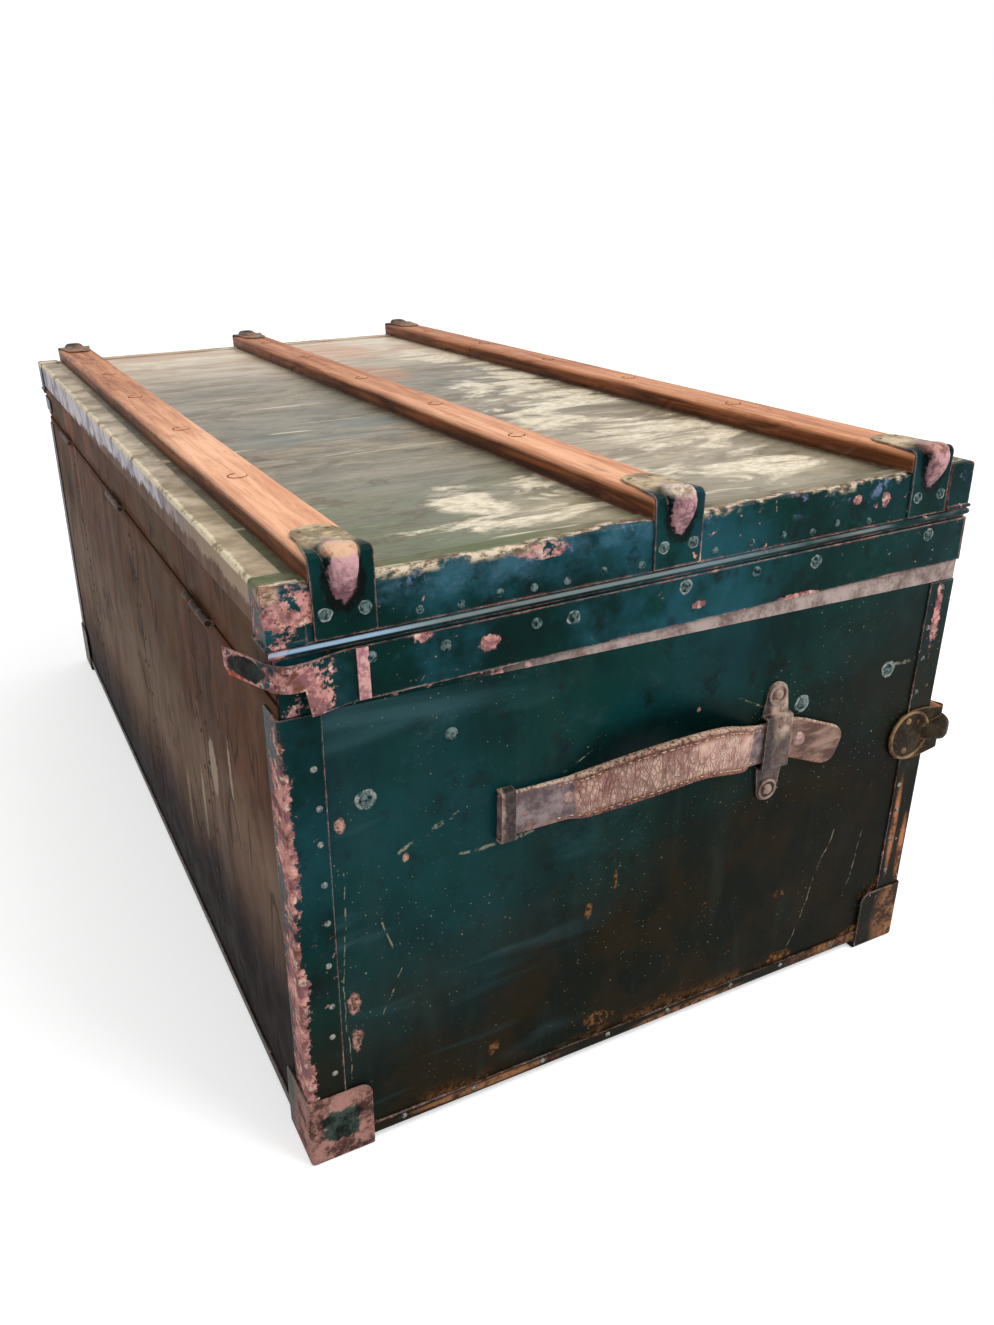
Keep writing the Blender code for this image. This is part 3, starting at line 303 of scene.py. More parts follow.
def primer_colour(f, fine):
    """Pinkish primer, mauve and cream where it is worn thinner, with rust specks."""
    colour = f.blend(f.noise(95, 4, 0.65, shift=4), 0.40, 0.60, MAUVE, PINK)
    colour = f.over(colour, CREAM, f.spots(0.56, 0.68, 170, 3, 0.6, shift=9), 0.7)
    speck = f.spots(0.55, 0.66, 300, 3, 0.7, shift=15)
    colour = f.over(colour, f.mix(fine, RUST_DARK, RUST), speck, 0.85)
    return f.blend(f.noise(50, 4, 0.7, shift=19), 0.56, 0.68, colour, (100, 62, 48))


def teal_paint(f, blue=0.5):
    """Old green paint with dark dirt spots, under a painted bluish sheen in patches."""
    # Painted sheen: patches of lighter bluish teal, as large a share as blue gives
    blue_sheen = f.times(f.spots(0.42, 0.68, 8, 5, 0.65, shift=1), blue)
    colour = f.blend(f.noise(14, 3, 0.5), 0.36, 0.62, TEAL_DEEP, TEAL)
    colour = f.mix(blue_sheen, colour, TEAL_SHEEN)
    dull = f.spots(0.56, 0.74, 120, 4, 0.7, shift=17)
    colour = f.over(colour, (26, 58, 58), dull, 0.5)
    return f.over(colour, GRIME, f.spots(0.52, 0.70, 45, 5, 0.7, shift=2), 0.75)


def painted_low_shade(f, colour, broad):
    """Painted shade: the paint darkened to brown low down and toward the front of the trunk."""
    tilt = f.plus(f.z, f.times(f.y, 0.35), f.centred(broad, 0.16))
    brown = f.blend(f.noise(20, 4, 0.6, shift=2), 0.40, 0.62, (27, 21, 8), (10, 15, 8))
    low = f.ramp(tilt, 0.27, 0.11)
    return f.mix(low, colour, brown), tilt, low


def sheen_toward_back(f, least, more):
    """Share of the painted bluish sheen, larger toward the back of the trunk."""
    return f.plus(f.times(f.ramp(f.y, -0.16, 0.06), more), least)


def green_iron(name, lid, wear, chips=0.0, patches=(), tints=(), blue=(0.5, 0.0), low_shade=False):
    """Painted sheet iron, worn to primer along its edges, in chips and in named patches, then tinted."""
    f = Finish(name, lid)
    fine = f.noise(260, 4, 0.7, shift=5)
    middling = f.noise(42, 4, 0.65, shift=7)
    colour = teal_paint(f, sheen_toward_back(f, *blue))
    # Painted shade: dark brown low down and toward the front
    if low_shade:
        colour, _, _ = painted_low_shade(f, colour, f.noise(9, 4, 0.6, shift=1))
    wobble = f.plus(f.centred(fine, 1.9), f.centred(middling, 2.0))
    edge = f.edges(0.0028)
    level = f.plus(f.times(edge, wear), f.centred(middling, 1.9), f.centred(fine, 1.4))
    small = f.times(f.spots(0.68 - chips * 0.05, 0.72 - chips * 0.05, 190, 3, 0.6, shift=11),
                    f.spots(0.46, 0.58, 11, 2, 0.5, shift=3))
    primer = f.most(f.ramp(level, 0.50, 0.56), small)
    if patches:
        primer = f.most(primer, f.blobs(patches, wobble))
    colour = f.mix(primer, colour, primer_colour(f, fine))
    patchy = f.spots(0.44, 0.60, 24, 4, 0.6, shift=21)
    glint = f.times(f.ramp(f.plus(f.times(edge, wear * 1.6), f.centred(fine, 1.6)), 0.66,
                           0.84), patchy, 0.6)
    colour = f.mix(glint, colour, EDGE_PALE)
    for places, dark, light, soft in tints:
        shade = f.blend(f.plus(middling, f.centred(fine, 0.6)), 0.38, 0.62, dark, light)
        colour = f.over(colour, shade, f.blobs(places, f.times(wobble, 0.36), soft), 0.95)
    f.bump(f.plus(f.times(primer, -1.0), f.times(fine, 0.5)), 0.00028)
    f.bump(f.noise(26, 2, 0.4, shift=6), 0.0012)
    rough = f.plus(f.times(primer, 0.32), f.times(f.noise(70, 3, 0.6, shift=8), 0.24), 0.22)
    return f.done(colour, rough)


def near_wall(y, z, wide, high, deep=0.02):
    """A patch on the photographed end: its centre and its radii."""
    return (-HALF_L, y, z), (deep, wide, high)


def on_top(x, y, long, wide):
    """A patch on the lid's top: its centre and its radii."""
    return (x, y, LID_TOP), (long, wide, 1)


# On the photographed end wall. A scratch: y and z of its two ends, width. A spot: y, z, radii along y and z
SCRATCHES = (((-0.136, 0.025), (-0.171, 0.126), 0.0006), ((-0.206, 0.257), (-0.240, 0.260), 0.0016),
             ((0.0755, 0.240), (0.0560, 0.251), 0.0009), ((0.150, 0.2035), (0.098, 0.2065), 0.0014),
             ((-0.060, 0.262), (-0.082, 0.252), 0.0010), ((0.190, 0.216), (0.150, 0.232), 0.0016),
             ((-0.190, 0.060), (-0.205, 0.130), 0.0005), ((0.228, 0.060), (0.226, 0.215), 0.0005),
             ((0.190, 0.132), (0.203, 0.100), 0.0005), ((0.206, 0.180), (0.196, 0.150), 0.0006))
RUST_SPOTS = ((0.039, 0.030, 0.014, 0.006), (0.125, 0.040, 0.004, 0.006), (0.054, 0.128, 0.003, 0.007),
              (-0.243, 0.114, 0.0022, 0.045), (-0.049, 0.098, 0.003, 0.003), (0.033, 0.146, 0.002, 0.009),
              (-0.230, 0.052, 0.016, 0.012), (-0.130, 0.022, 0.012, 0.004), (-0.215, 0.016, 0.020, 0.006))
PALE_SPOTS = ((0.2255, 0.245, 0.0035, 0.0055), (0.186, 0.212, 0.002, 0.003), (-0.026, 0.262, 0.002, 0.002),
              (-0.088, 0.262, 0.003, 0.003), (0.2225, 0.116, 0.0040, 0.0100),
              (0.2220, 0.088, 0.0040, 0.0110))


def end_sheet(name):
    """The painted end walls: teal above under a painted bluish sheen, painted shade darkening them to brown
    below, scratched and specked.
    """
    f = Finish(name)
    fine = f.noise(300, 4, 0.65, shift=5)
    broad = f.noise(9, 4, 0.6, shift=1)
    here = f.ramp(f.x, 0.1, -0.1)
    colour, tilt, low = painted_low_shade(f, teal_paint(f, 0.28), broad)
    # Painted shade: darker still toward the front of the trunk, low down
    colour = f.over(colour, (12, 8, 3), f.ramp(f.y, -0.04, -0.22), low, 0.5)
    drips = f.noise(34, 4, 0.6, stretch=(1, 1, 0.16), shift=8)
    colour = f.over(colour, (34, 52, 48), f.ramp(drips, 0.54, 0.70), 0.22)
    # Painted sheen: lighter bluish teal high on the wall, more of it toward the back, some in streaks
    sheen_spots = f.spots(0.54, 0.76, 16, 5, 0.7, stretch=(1, 0.7, 1.2), shift=13)
    back_sheen = f.ramp(f.plus(f.y, f.centred(broad, 0.2)), 0.02, 0.20)
    colour = f.over(colour, (58, 88, 94), sheen_spots, f.ramp(tilt, 0.10, 0.25), 0.26)
    colour = f.over(colour, (34, 68, 74), back_sheen, f.ramp(sheen_spots, -0.4, 0.5), f.ramp(tilt, 0.06, 0.24), 0.42)
    sheen_streaks = f.times(f.spots(0.54, 0.72, 24, 3, 0.55, stretch=(1, 0.22, 1.3), shift=31, twist=0.5), back_sheen)
    colour = f.over(colour, (62, 96, 102), sheen_streaks, 0.40)
    # Painted shadow: the near end wall darkened behind and above the bowed strap
    strap_shadow = f.blobs([near_wall(-0.010, 0.247, 0.085, 0.020, 1)], f.centred(broad, 1.0), 0.5)
    colour = f.over(colour, (2, 9, 9), strap_shadow, here, 0.72)
    speck = f.times(f.spots(0.735, 0.765, 520, 1, 0.4, shift=3), f.spots(0.44, 0.62, 12, 2, 0.5, shift=6))
    colour = f.over(colour, (142, 138, 108), speck, 0.7)
    ragged = f.plus(f.centred(fine, 2.2), f.centred(f.noise(120, 3, 0.6, shift=12), 1.6))
    f.bend = f.centred(f.noise(18, 3, 0.6, shift=41), 0.012)
    line = f.times(f.most(*[f.scratch(a, b, width, ragged) for a, b, width in SCRATCHES]), here,
                   f.spots(0.44, 0.58, 150, 3, 0.6, shift=42))
    colour = f.over(colour, f.mix(fine, (96, 92, 72), (168, 162, 138)), line, 0.7)
    wobble = f.plus(f.centred(fine, 1.9), f.centred(f.noise(60, 3, 0.6), 2.4))
    pale = f.times(f.blobs([near_wall(*spot, 1) for spot in PALE_SPOTS], wobble), here)
    colour = f.over(colour, f.blend(fine, 0.38, 0.62, (88, 58, 52), (190, 146, 130)), pale, 0.8)
    rust = f.times(f.blobs([near_wall(*spot, 1) for spot in RUST_SPOTS], wobble), here)
    foot = f.times(f.ramp(f.plus(f.z, f.centred(fine, 0.03)), 0.030, 0.014), f.spots(0.46, 0.60, 22, 3))
    spread = f.times(f.spots(0.66, 0.74, 48, 4, 0.7, shift=14), f.ramp(tilt, 0.16, 0.02))
    rust = f.most(f.times(rust, f.spots(0.36, 0.50, 150, 3, 0.6, shift=27)), foot, spread)
    colour = f.over(colour, f.blend(fine, 0.40, 0.62, (46, 28, 16), (134, 92, 54)), rust, 0.7)
    f.bump(f.plus(f.times(rust, -0.8), f.times(line, -0.8), f.times(fine, 0.4)), 0.0002)
    f.bump(f.noise(11, 2, 0.4, shift=6), 0.0030)
    rough = f.plus(f.times(low, 0.16), f.times(f.noise(60, 3, 0.6, shift=8), 0.26),
                   f.times(rust, 0.3), 0.20)
    return f.done(colour, rough)


# White rubbed marks on the back: x, z, radii along x and z
BACK_WHITE = ((-0.290, 0.204, 0.012, 0.020), (-0.240, 0.150, 0.004, 0.030),
              (-0.345, 0.230, 0.003, 0.026), (-0.180, 0.120, 0.003, 0.030))


def back_sheet(name, lid, waves):
    """Weathered brown sheet, stained and cracked downwards, purple-dark at its bottom."""
    f = Finish(name, lid)
    fine = f.noise(280, 4, 0.7, shift=5)
    streak = f.noise(24, 5, 0.66, stretch=(1, 1, 0.34), shift=2, twist=0.7)
    broad = f.noise(8, 4, 0.6, stretch=(1, 1, 0.6), shift=1)
    colour = f.blend(streak, 0.30, 0.70, (62, 38, 26), (94, 64, 46))
    colour = f.over(colour, (78, 60, 40), f.ramp(broad, 0.42, 0.66), 0.6)
    waist = f.times(f.ramp(f.z, 0.07, 0.15), f.ramp(f.z, 0.26, 0.19))
    colour = f.over(colour, (136, 116, 100), waist, f.ramp(streak, 0.2, 0.6), 0.40)
    colour = f.over(colour, (64, 48, 40), f.spots(0.54, 0.70, 60, 4, 0.7, shift=7), 0.45)
    curl = f.most(f.times(f.lines(13, 0.016, shift=6, stretch=(1, 1, 0.30)),
                          f.spots(0.50, 0.60, 9, 2, shift=13)),
                  f.times(f.lines(24, 0.018, shift=16, stretch=(1, 1, 0.24)),
                          f.spots(0.54, 0.62, 11, 2, shift=23)))
    colour = f.over(colour, (40, 28, 24), curl, 0.65)
    stain = f.times(f.spots(0.52, 0.64, 17, 4, 0.65, stretch=(1, 1, 0.22), shift=12),
                    f.ramp(f.x, 0.05, 0.35), f.ramp(f.z, 0.20, 0.36))
    colour = f.over(colour, (146, 88, 60), stain, 0.8)
    flake = f.spots(0.68, 0.74, 75, 4, 0.7, stretch=(1, 1, 0.4), shift=9)
    colour = f.over(colour, (158, 136, 114), flake, 0.5)
    wobble = f.plus(f.centred(fine, 1.4), f.centred(streak, 2.0))
    white = f.blobs([((x, HALF_D, z), (long, 1, high)) for x, z, long, high in BACK_WHITE], wobble)
    colour = f.over(colour, (170, 154, 134), white, 0.6)
    tilt = f.plus(f.z, f.centred(broad, 0.16), f.times(f.x, 0.08))
    colour = f.over(colour, f.mix(streak, (8, 3, 6), (28, 18, 20)), f.ramp(tilt, 0.15, 0.05), 0.97)
    wave = f.plus(f.x, f.centred(f.noise(6, 2, stretch=(0.2, 0.2, 1)), 0.006))
    gap = f.most(*[f.ramp(f.apart(wave, x), 0.0016, 0.0005) for x in BACK_SEAMS])
    colour = f.over(colour, (24, 16, 14), gap, 0.8)
    worn = f.plus(f.times(f.edges(0.006), 3.2), f.centred(fine, 1.2), f.centred(broad, 1.0))
    rust = f.ramp(worn, 0.50, 0.70)
    rust = f.most(f.times(rust, 0.8), f.times(f.ramp(f.apart(f.z, SEAM), 0.012, 0.002),
                                              f.ramp(streak, 0.40, 0.60)))
    colour = f.over(colour, f.mix(fine, (32, 18, 12), (96, 58, 38)), rust, 0.8)
    f.bump(f.plus(f.times(fine, 0.5), f.times(streak, 0.7), f.times(gap, -1.5), f.times(flake, -0.5),
                  f.times(curl, -1.0)), 0.0006)
    f.bump(f.noise(12, 3, 0.45, stretch=(1, 1, 0.45), shift=3), waves)
    return f.done(colour, f.plus(f.times(f.noise(50, 3, 0.6, shift=8), 0.30), f.times(rust, 0.2),
                                 0.40), specular=DULLER)


def top_colour(f):
    """Olive and taupe sheet, streaked across its width, greener near the photographed end."""
    streak = f.noise(36, 5, 0.68, stretch=(1, 0.26, 1), shift=2, twist=1.2)
    broad = f.noise(9, 4, 0.6, stretch=(1, 0.45, 1), shift=1)
    dark = f.noise(24, 5, 0.72, stretch=(1, 0.50, 1), shift=6, twist=1.6)
    fine = f.noise(240, 4, 0.7, stretch=(1, 0.5, 1), shift=5)
    colour = f.blend(f.plus(streak, f.centred(fine, 0.3)), 0.32, 0.68, (98, 90, 72), (156, 142, 120))
    colour = f.over(colour, (112, 114, 100), f.ramp(broad, 0.40, 0.62), 0.5)
    near = f.ramp(f.plus(f.x, f.centred(broad, 0.34), f.centred(dark, 0.20)), -0.20, -0.46)
    near = f.times(near, f.plus(f.times(f.ramp(f.y, -0.06, 0.08), 0.6), 0.15))
    colour = f.mix(near, colour, (84, 98, 68))
    colour = f.over(colour, (76, 62, 46), f.ramp(dark, 0.50, 0.66), 0.62)
    blue = f.times(f.spots(0.58, 0.70, 12, 4, 0.6, stretch=(1, 0.4, 1), shift=29),
                   f.ramp(f.x, -0.42, -0.15))
    colour = f.over(colour, (98, 106, 108), blue, 0.6)
    far = f.ramp(f.plus(f.x, f.centred(broad, 0.24)), 0.10, 0.40)
    colour = f.over(colour, f.blend(streak, 0.4, 0.6, (202, 172, 146), (222, 208, 186)), far, 0.78)
    wobble = f.plus(f.centred(streak, 1.2), f.centred(fine, 1.0), f.centred(dark, 1.4))
    dusty = f.blobs([on_top(-0.41, 0.050, 0.050, 0.045), on_top(-0.30, -0.10, 0.12, 0.09)], wobble, 0.8)
    colour = f.over(colour, f.blend(streak, 0.4, 0.6, (150, 132, 112), (196, 176, 152)), dusty, 0.42)
    area = f.blobs([on_top(0.06, -0.180, 0.120, 0.055), on_top(-0.07, -0.150, 0.06, 0.07),
                    on_top(-0.25, -0.140, 0.085, 0.060), on_top(-0.36, -0.008, 0.035, 0.06),
                    on_top(-0.36, 0.095, 0.045, 0.024), on_top(-0.15, -0.085, 0.06, 0.040),
                    on_top(-0.39, -0.130, 0.035, 0.045), on_top(-0.41, 0.080, 0.016, 0.08),
                    on_top(0.02, -0.100, 0.04, 0.025), on_top(0.24, -0.165, 0.07, 0.040)], wobble, 0.6)
    shred = f.noise(26, 5, 0.64, stretch=(1, 0.46, 1), shift=25, twist=1.2)
    cream = f.times(f.ramp(f.plus(shred, f.times(area, 0.17)), 0.57, 0.72), f.ramp(area, 0.05, 0.55))
    colour = f.over(colour, f.blend(fine, 0.35, 0.6, (196, 180, 152), (234, 222, 198)), cream, 0.84)
    warm = f.blobs([on_top(0.350, -0.080, 0.06, 0.05), on_top(0.02, -0.035, 0.20, 0.008),
                    on_top(0.16, -0.060, 0.06, 0.025), on_top(-0.20, 0.188, 0.20, 0.004)], wobble, 0.4)
    colour = f.over(colour, (186, 128, 90), warm, 0.5)
    scratch = f.spots(0.65, 0.69, 75, 3, 0.6, stretch=(1, 0.08, 1), shift=10, twist=0.5)
    colour = f.over(colour, (226, 214, 184), scratch, 0.6)
    return colour, fine, streak, scratch


def top_sheet(name):
    """The lid's top sheet."""
    f = Finish(name, True)
    colour, fine, streak, scratch = top_colour(f)
    f.bump(f.plus(f.times(fine, 0.5), f.times(streak, 0.6), f.times(scratch, -0.6)), 0.00035)
    f.bump(f.noise(8, 3, 0.45, shift=3), 0.0040)
    rough = f.plus(f.times(f.noise(36, 4, 0.6, stretch=(1, 0.3, 1), shift=8), 0.45), 0.16)
    return f.done(colour, rough, specular=GLOSSY)


def end_binding(name, side, patches, shine):
    """A lid end binding: painted wall with painted soft highlights and a painted highlight along the bead,
    and a flange whose paint gives out in a chipped wavy line.
    """
    f = Finish(name, True)
    sheet, fine, *_ = top_colour(f)
    middling = f.noise(42, 4, 0.65, shift=7)
    wobble = f.plus(f.centred(fine, 1.9), f.centred(middling, 2.0))
    colour = teal_paint(f, sheen_toward_back(f, 0.3, 1.3))
    violet = f.times(f.spots(0.56, 0.68, 70, 4, 0.7, shift=33),
                     f.ramp(f.z, LID_TOP - 0.016, LID_TOP - 0.002))
    colour = f.over(colour, (112, 124, 162), violet, 0.7)
    edge = f.edges(0.0030)
    level = f.plus(f.times(edge, 1.6), f.centred(middling, 1.9), f.centred(fine, 1.4))
    small = f.times(f.spots(0.66, 0.70, 150, 3, 0.6, shift=11), f.spots(0.46, 0.58, 11, 2, 0.5, shift=3))
    spots = f.blobs(patches, wobble)
    primer = f.most(f.ramp(level, 0.54, 0.60), small,
                    f.times(spots, f.spots(0.56, 0.50, 85, 4, 0.7, shift=35)))
    colour = f.mix(primer, colour, primer_colour(f, fine))
    # Painted highlight: soft pale blue patches where shine places them
    soft = f.times(f.blobs(shine, wobble, 0.5), f.ramp(middling, 0.36, 0.60))
    colour = f.over(colour, (66, 102, 120), soft, 0.5)
    # Painted highlight: a pale line along the rolled edge at the bead, bluer toward the back
    roll = f.ramp(f.apart(f.z, BEAD + 0.0009), 0.0014, 0.0005)
    patchy = f.spots(0.34, 0.54, 30, 4, 0.6, stretch=(1, 0.3, 1), shift=8)
    bright = f.ramp(f.plus(f.y, f.centred(middling, 0.04)), 0.150, 0.200)
    sheen = f.mix(bright, (138, 146, 146), (142, 166, 188))
    colour = f.over(colour, sheen, roll, patchy, f.plus(f.times(bright, 0.35), 0.55))
    inward = f.calc("SUBTRACT", HALF_L, f.times(f.x, side))
    run = f.plus(inward, f.centred(f.noise(22, 3, 0.6, stretch=(0, 1, 0), shift=2), 0.030),
                 f.centred(fine, 0.006))
    line = f.times(f.ramp(run, -0.0020, 0.0010), f.ramp(f.z, LID_TOP - 0.004, LID_TOP + 0.0005))
    rim = f.times(line, f.ramp(run, 0.0065, 0.0020))
    colour = f.mix(line, colour, sheet)
    colour = f.over(colour, f.blend(fine, 0.42, 0.60, (104, 78, 60), CREAM), rim, 0.85)
    corner = f.blobs([((side * HALF_L, BACK_Y, LID_TOP), (0.011, 0.008, 0.005))], wobble, 0.3)
    colour = f.over(colour, f.blend(fine, 0.4, 0.6, (120, 90, 72), (200, 170, 146)), corner, 0.8)
    f.bump(f.plus(f.times(primer, -1.0), f.times(rim, 1.5), f.times(fine, 0.5)), 0.0003)
    f.bump(f.noise(22, 2, 0.4, shift=6), 0.0016)
    rough = f.plus(f.times(primer, 0.30), f.times(line, 0.20), f.times(f.noise(70, 3, shift=8), 0.24), 0.20)
    return f.done(colour, rough)


def back_binding(name):
    """The lid's back binding: a cream painted highlight in patches along its top edge, a ragged band of
    grey-blue paint, brown below.
    """
    f = Finish(name, True)
    fine = f.noise(260, 4, 0.65, shift=5)
    middling = f.noise(44, 4, 0.6, shift=7)
    streak = f.noise(34, 5, 0.62, stretch=(1, 1, 0.24), shift=2, twist=0.9)
    brown = f.blend(streak, 0.30, 0.70, (76, 54, 43), (112, 88, 72))
    stain = f.times(f.spots(0.46, 0.60, 20, 4, 0.6, stretch=(1, 1, 0.3), shift=12),
                    f.ramp(f.x, -0.05, 0.30))
    brown = f.over(brown, (152, 96, 66), stain, 0.8)
    grey = f.blend(f.plus(middling, f.centred(streak, 0.6)), 0.36, 0.62, (142, 136, 146), (206, 202, 208))
    wave = f.plus(f.centred(f.noise(34, 3, 0.6, stretch=(1, 0, 0)), 0.024), f.centred(fine, 0.010))
    reach = f.times(f.ramp(f.x, -0.20, 0.42), 0.014)
    drop = f.ramp(f.plus(f.z, wave, reach), LID_TOP - 0.0135, LID_TOP - 0.0095)
    far = f.ramp(f.plus(f.x, f.centred(middling, 0.10)), -0.32, -0.14)
    colour = f.over(brown, grey, drop, f.plus(f.times(far, 0.75), 0.15))
    near = f.times(f.ramp(f.plus(f.x, f.centred(middling, 0.12)), -0.20, -0.40), drop)
    colour = f.over(colour, (164, 142, 116), near, 0.7)
    top = f.ramp(f.z, LID_TOP - 0.0020, LID_TOP + 0.0012)
    colour = f.over(colour, f.blend(middling, 0.30, 0.70, (136, 122, 98), (190, 174, 148)), top, 0.85)
    # Painted highlight: a pale cream line in patches along the rounded top back edge
    rim = f.ramp(f.plus(f.y, f.centred(middling, 0.006)), BACK_Y - 0.0010, BACK_Y + 0.0010)
    crest = f.times(f.ramp(f.z, LID_TOP - 0.0016, LID_TOP), rim, f.ramp(f.plus(fine, middling), 0.84, 1.00))
    colour = f.over(colour, (222, 208, 178), crest, 0.8)
    f.bump(f.plus(f.times(fine, 0.6), f.times(streak, 0.5), f.times(drop, 1.2)), 0.0004)
    f.bump(f.noise(30, 2, 0.4, shift=6), 0.0016)
    return f.done(colour, f.plus(f.times(middling, 0.3), 0.35), specular=DULLER)


def slat_wood(name, lid, top, up):
    """Varnished slats: worn pale on top near the photographed end, orange beyond, dark sides."""
    f = Finish(name, lid)
    grain = f.noise(150, 5, 0.62, stretch=(0.06, 1, 1), shift=3, twist=0.8)
    broad = f.noise(14, 3, 0.5, stretch=(0.5, 1, 1), shift=1)
    fine = f.noise(340, 4, 0.65, stretch=(0.5, 1, 1), shift=5)
    near = f.ramp(f.plus(f.x, f.centred(broad, 0.30)), 0.16, -0.20) if lid else 0.3
    near = f.times(near, f.plus(f.times(f.ramp(f.y, -0.24, 0.16), 0.75), 0.25))
    pale = f.blend(grain, 0.30, 0.68, (200, 136, 98), (234, 178, 140))
    warm = f.blend(grain, 0.34, 0.66, (146, 84, 48), (198, 132, 88))
    face = f.mix(near, warm, pale)
    pores = f.spots(0.62, 0.70, 420, 3, 0.6, stretch=(0.05, 1, 1), shift=8)
    face = f.over(face, (130, 84, 58), pores, 0.35)
    side = f.blend(grain, 0.34, 0.66, (68, 33, 16), (138, 78, 42))
    coordinate = f.z if up == "z" else f.times(f.y, -1.0)
    depth = f.plus(coordinate, f.centred(f.noise(70, 3, 0.6, stretch=(0.3, 1, 1), shift=9), 0.003))
    colour = f.blend(depth, top - 0.0048, top - 0.0010, side, face)
    # Painted shade: the lower part of the slat sides darkened, where they meet the surface below
    foot = f.ramp(depth, top - 0.0075, top - 0.0130)
    colour = f.over(colour, (44, 24, 15), foot, 0.8)
    worn = f.plus(f.times(f.edges(0.004), 2.2), f.centred(fine, 1.2), f.centred(broad, 1.2))
    rub = f.ramp(worn, 0.34, 0.56)
    colour = f.over(colour, (226, 172, 132), rub, 0.35)
    dirt = f.spots(0.58, 0.72, 50, 4, 0.65, stretch=(0.4, 1, 1), shift=12)
    colour = f.over(colour, (120, 78, 54), dirt, 0.42)
    dents = f.spots(0.62, 0.70, 38, 2, 0.5, stretch=(0.5, 1, 1), shift=15)
    f.bump(f.plus(f.times(grain, 0.7), f.times(pores, -0.5), f.times(fine, 0.2)), 0.0003)
    f.bump(f.plus(f.times(dents, -1.0), broad), 0.0012)
    return f.done(colour, f.plus(f.times(f.noise(60, 3, 0.6, shift=7), 0.28), f.times(pores, 0.2),
                                 0.34), specular=GLOSSY)


def bare_iron(name, lid, pale, rusty, dark=IRON_DARK, edge_colour=EDGE_TAN, metal=0.5):
    """Unpainted iron, with rust and rubbed edges."""
    f = Finish(name, lid)
    fine = f.noise(330, 4, 0.65, shift=5)
    middling = f.noise(52, 4, 0.6, shift=7)
    colour = f.blend(f.plus(middling, f.centred(fine, 0.4)), 0.38, 0.62, pale, dark)
    rust = f.ramp(f.plus(middling, f.centred(fine, 0.5)), 0.70 - rusty * 0.30, 0.80 - rusty * 0.30)
    colour = f.over(colour, f.blend(fine, 0.4, 0.62, RUST_DARK, RUST), rust, 0.8)
    edge = f.ramp(f.plus(f.times(f.edges(0.0025), 3.0), f.centred(fine, 1.4)), 0.44, 0.70)
    colour = f.over(colour, edge_colour, edge, 0.6)
    f.bump(f.plus(f.times(fine, 0.7), f.times(rust, -0.5)), 0.00022)
    f.bump(f.noise(60, 2, 0.4, shift=6), 0.0006)
    return f.done(colour, f.plus(f.times(rust, 0.35), f.times(fine, 0.2), 0.34),
                  f.times(f.calc("SUBTRACT", 1.0, rust), metal))


def rim_iron(name):
    """The rim band: bare and grey toward the front, still green with pink flakes at the back."""
    f = Finish(name)
    fine = f.noise(330, 4, 0.65, shift=5)
    middling = f.noise(52, 4, 0.6, shift=7)
    mottled = f.plus(middling, f.centred(fine, 0.5))
    bare = f.blend(mottled, 0.28, 0.66, (104, 86, 82), (160, 144, 138))
    paint = f.blend(mottled, 0.54, 0.60, teal_paint(f, 0.3), primer_colour(f, fine))
    colour = f.blend(f.plus(f.y, f.centred(middling, 0.10)), 0.15, 0.06, paint, bare)
    f.bump(fine, 0.0002)
    return f.done(colour, f.plus(f.times(fine, 0.2), 0.4), 0.1)


def loop_iron(name):
    """The handle loops: dark iron, rubbed to beige on half of the front one and an edge of the back one."""
    f = Finish(name)
    fine = f.noise(330, 4, 0.65, shift=5)
    middling = f.noise(90, 4, 0.65, shift=7)
    y = f.plus(f.y, f.centred(middling, 0.006), -MIDDLE_Y)
    height = f.plus(f.z, f.centred(f.noise(60, 3, 0.6, shift=9), 0.02))
    rubbed = f.most(f.times(f.ramp(y, -0.0870, -0.0925),
                            f.plus(f.times(f.ramp(height, 0.226, 0.236), 0.75), 0.2)),
                    f.times(f.ramp(y, 0.1205, 0.1235), 0.7))
    dark = f.blend(fine, 0.4, 0.6, (26, 20, 20), (62, 50, 48))
    beige = f.blend(middling, 0.36, 0.62, (104, 82, 72), (176, 152, 134))
    colour = f.mix(rubbed, dark, beige)
    spots = f.spots(0.56, 0.66, 170, 4, 0.7, shift=3)
    colour = f.over(colour, f.mix(fine, (34, 22, 20), (96, 58, 44)), spots, 0.75)
    edge = f.ramp(f.plus(f.times(f.edges(0.0020), 3.0), f.centred(fine, 1.4)), 0.46, 0.70)
    colour = f.over(colour, EDGE_TAN, edge, 0.55)
    f.bump(f.plus(f.times(fine, 0.7), f.times(spots, -0.8)), 0.0003)
    return f.done(colour, f.plus(f.times(fine, 0.3), 0.40), 0.0, specular=0.25)


def carcass_wood(name, lid, grain=(0.06, 1, 1)):
    """Plain softwood boards, unvarnished, seen when the trunk is open."""
    f = Finish(name, lid)
    rings = f.noise(26, 4, 0.55, stretch=grain, shift=3, twist=1.2)
    waves = f.calc("SINE", f.times(rings, 60.0))
    fine = f.noise(300, 4, 0.65, stretch=grain, shift=5)
    colour = f.blend(waves, -0.6, 0.9, (176, 136, 92), (140, 98, 60))
    colour = f.over(colour, (98, 72, 50), f.spots(0.50, 0.70, 9, 4, 0.6, shift=8), 0.5)
    colour = f.over(colour, (86, 60, 40), f.ramp(fine, 0.58, 0.70), 0.4)
    colour = f.over(colour, (46, 29, 19), f.ramp(f.y, BACK_Y - 0.004, BACK_Y - 0.001), 0.9)
    f.bump(f.plus(f.times(fine, 0.7), f.times(waves, 0.15)), 0.0003)
    return f.done(colour, f.plus(f.times(fine, 0.25), 0.62))


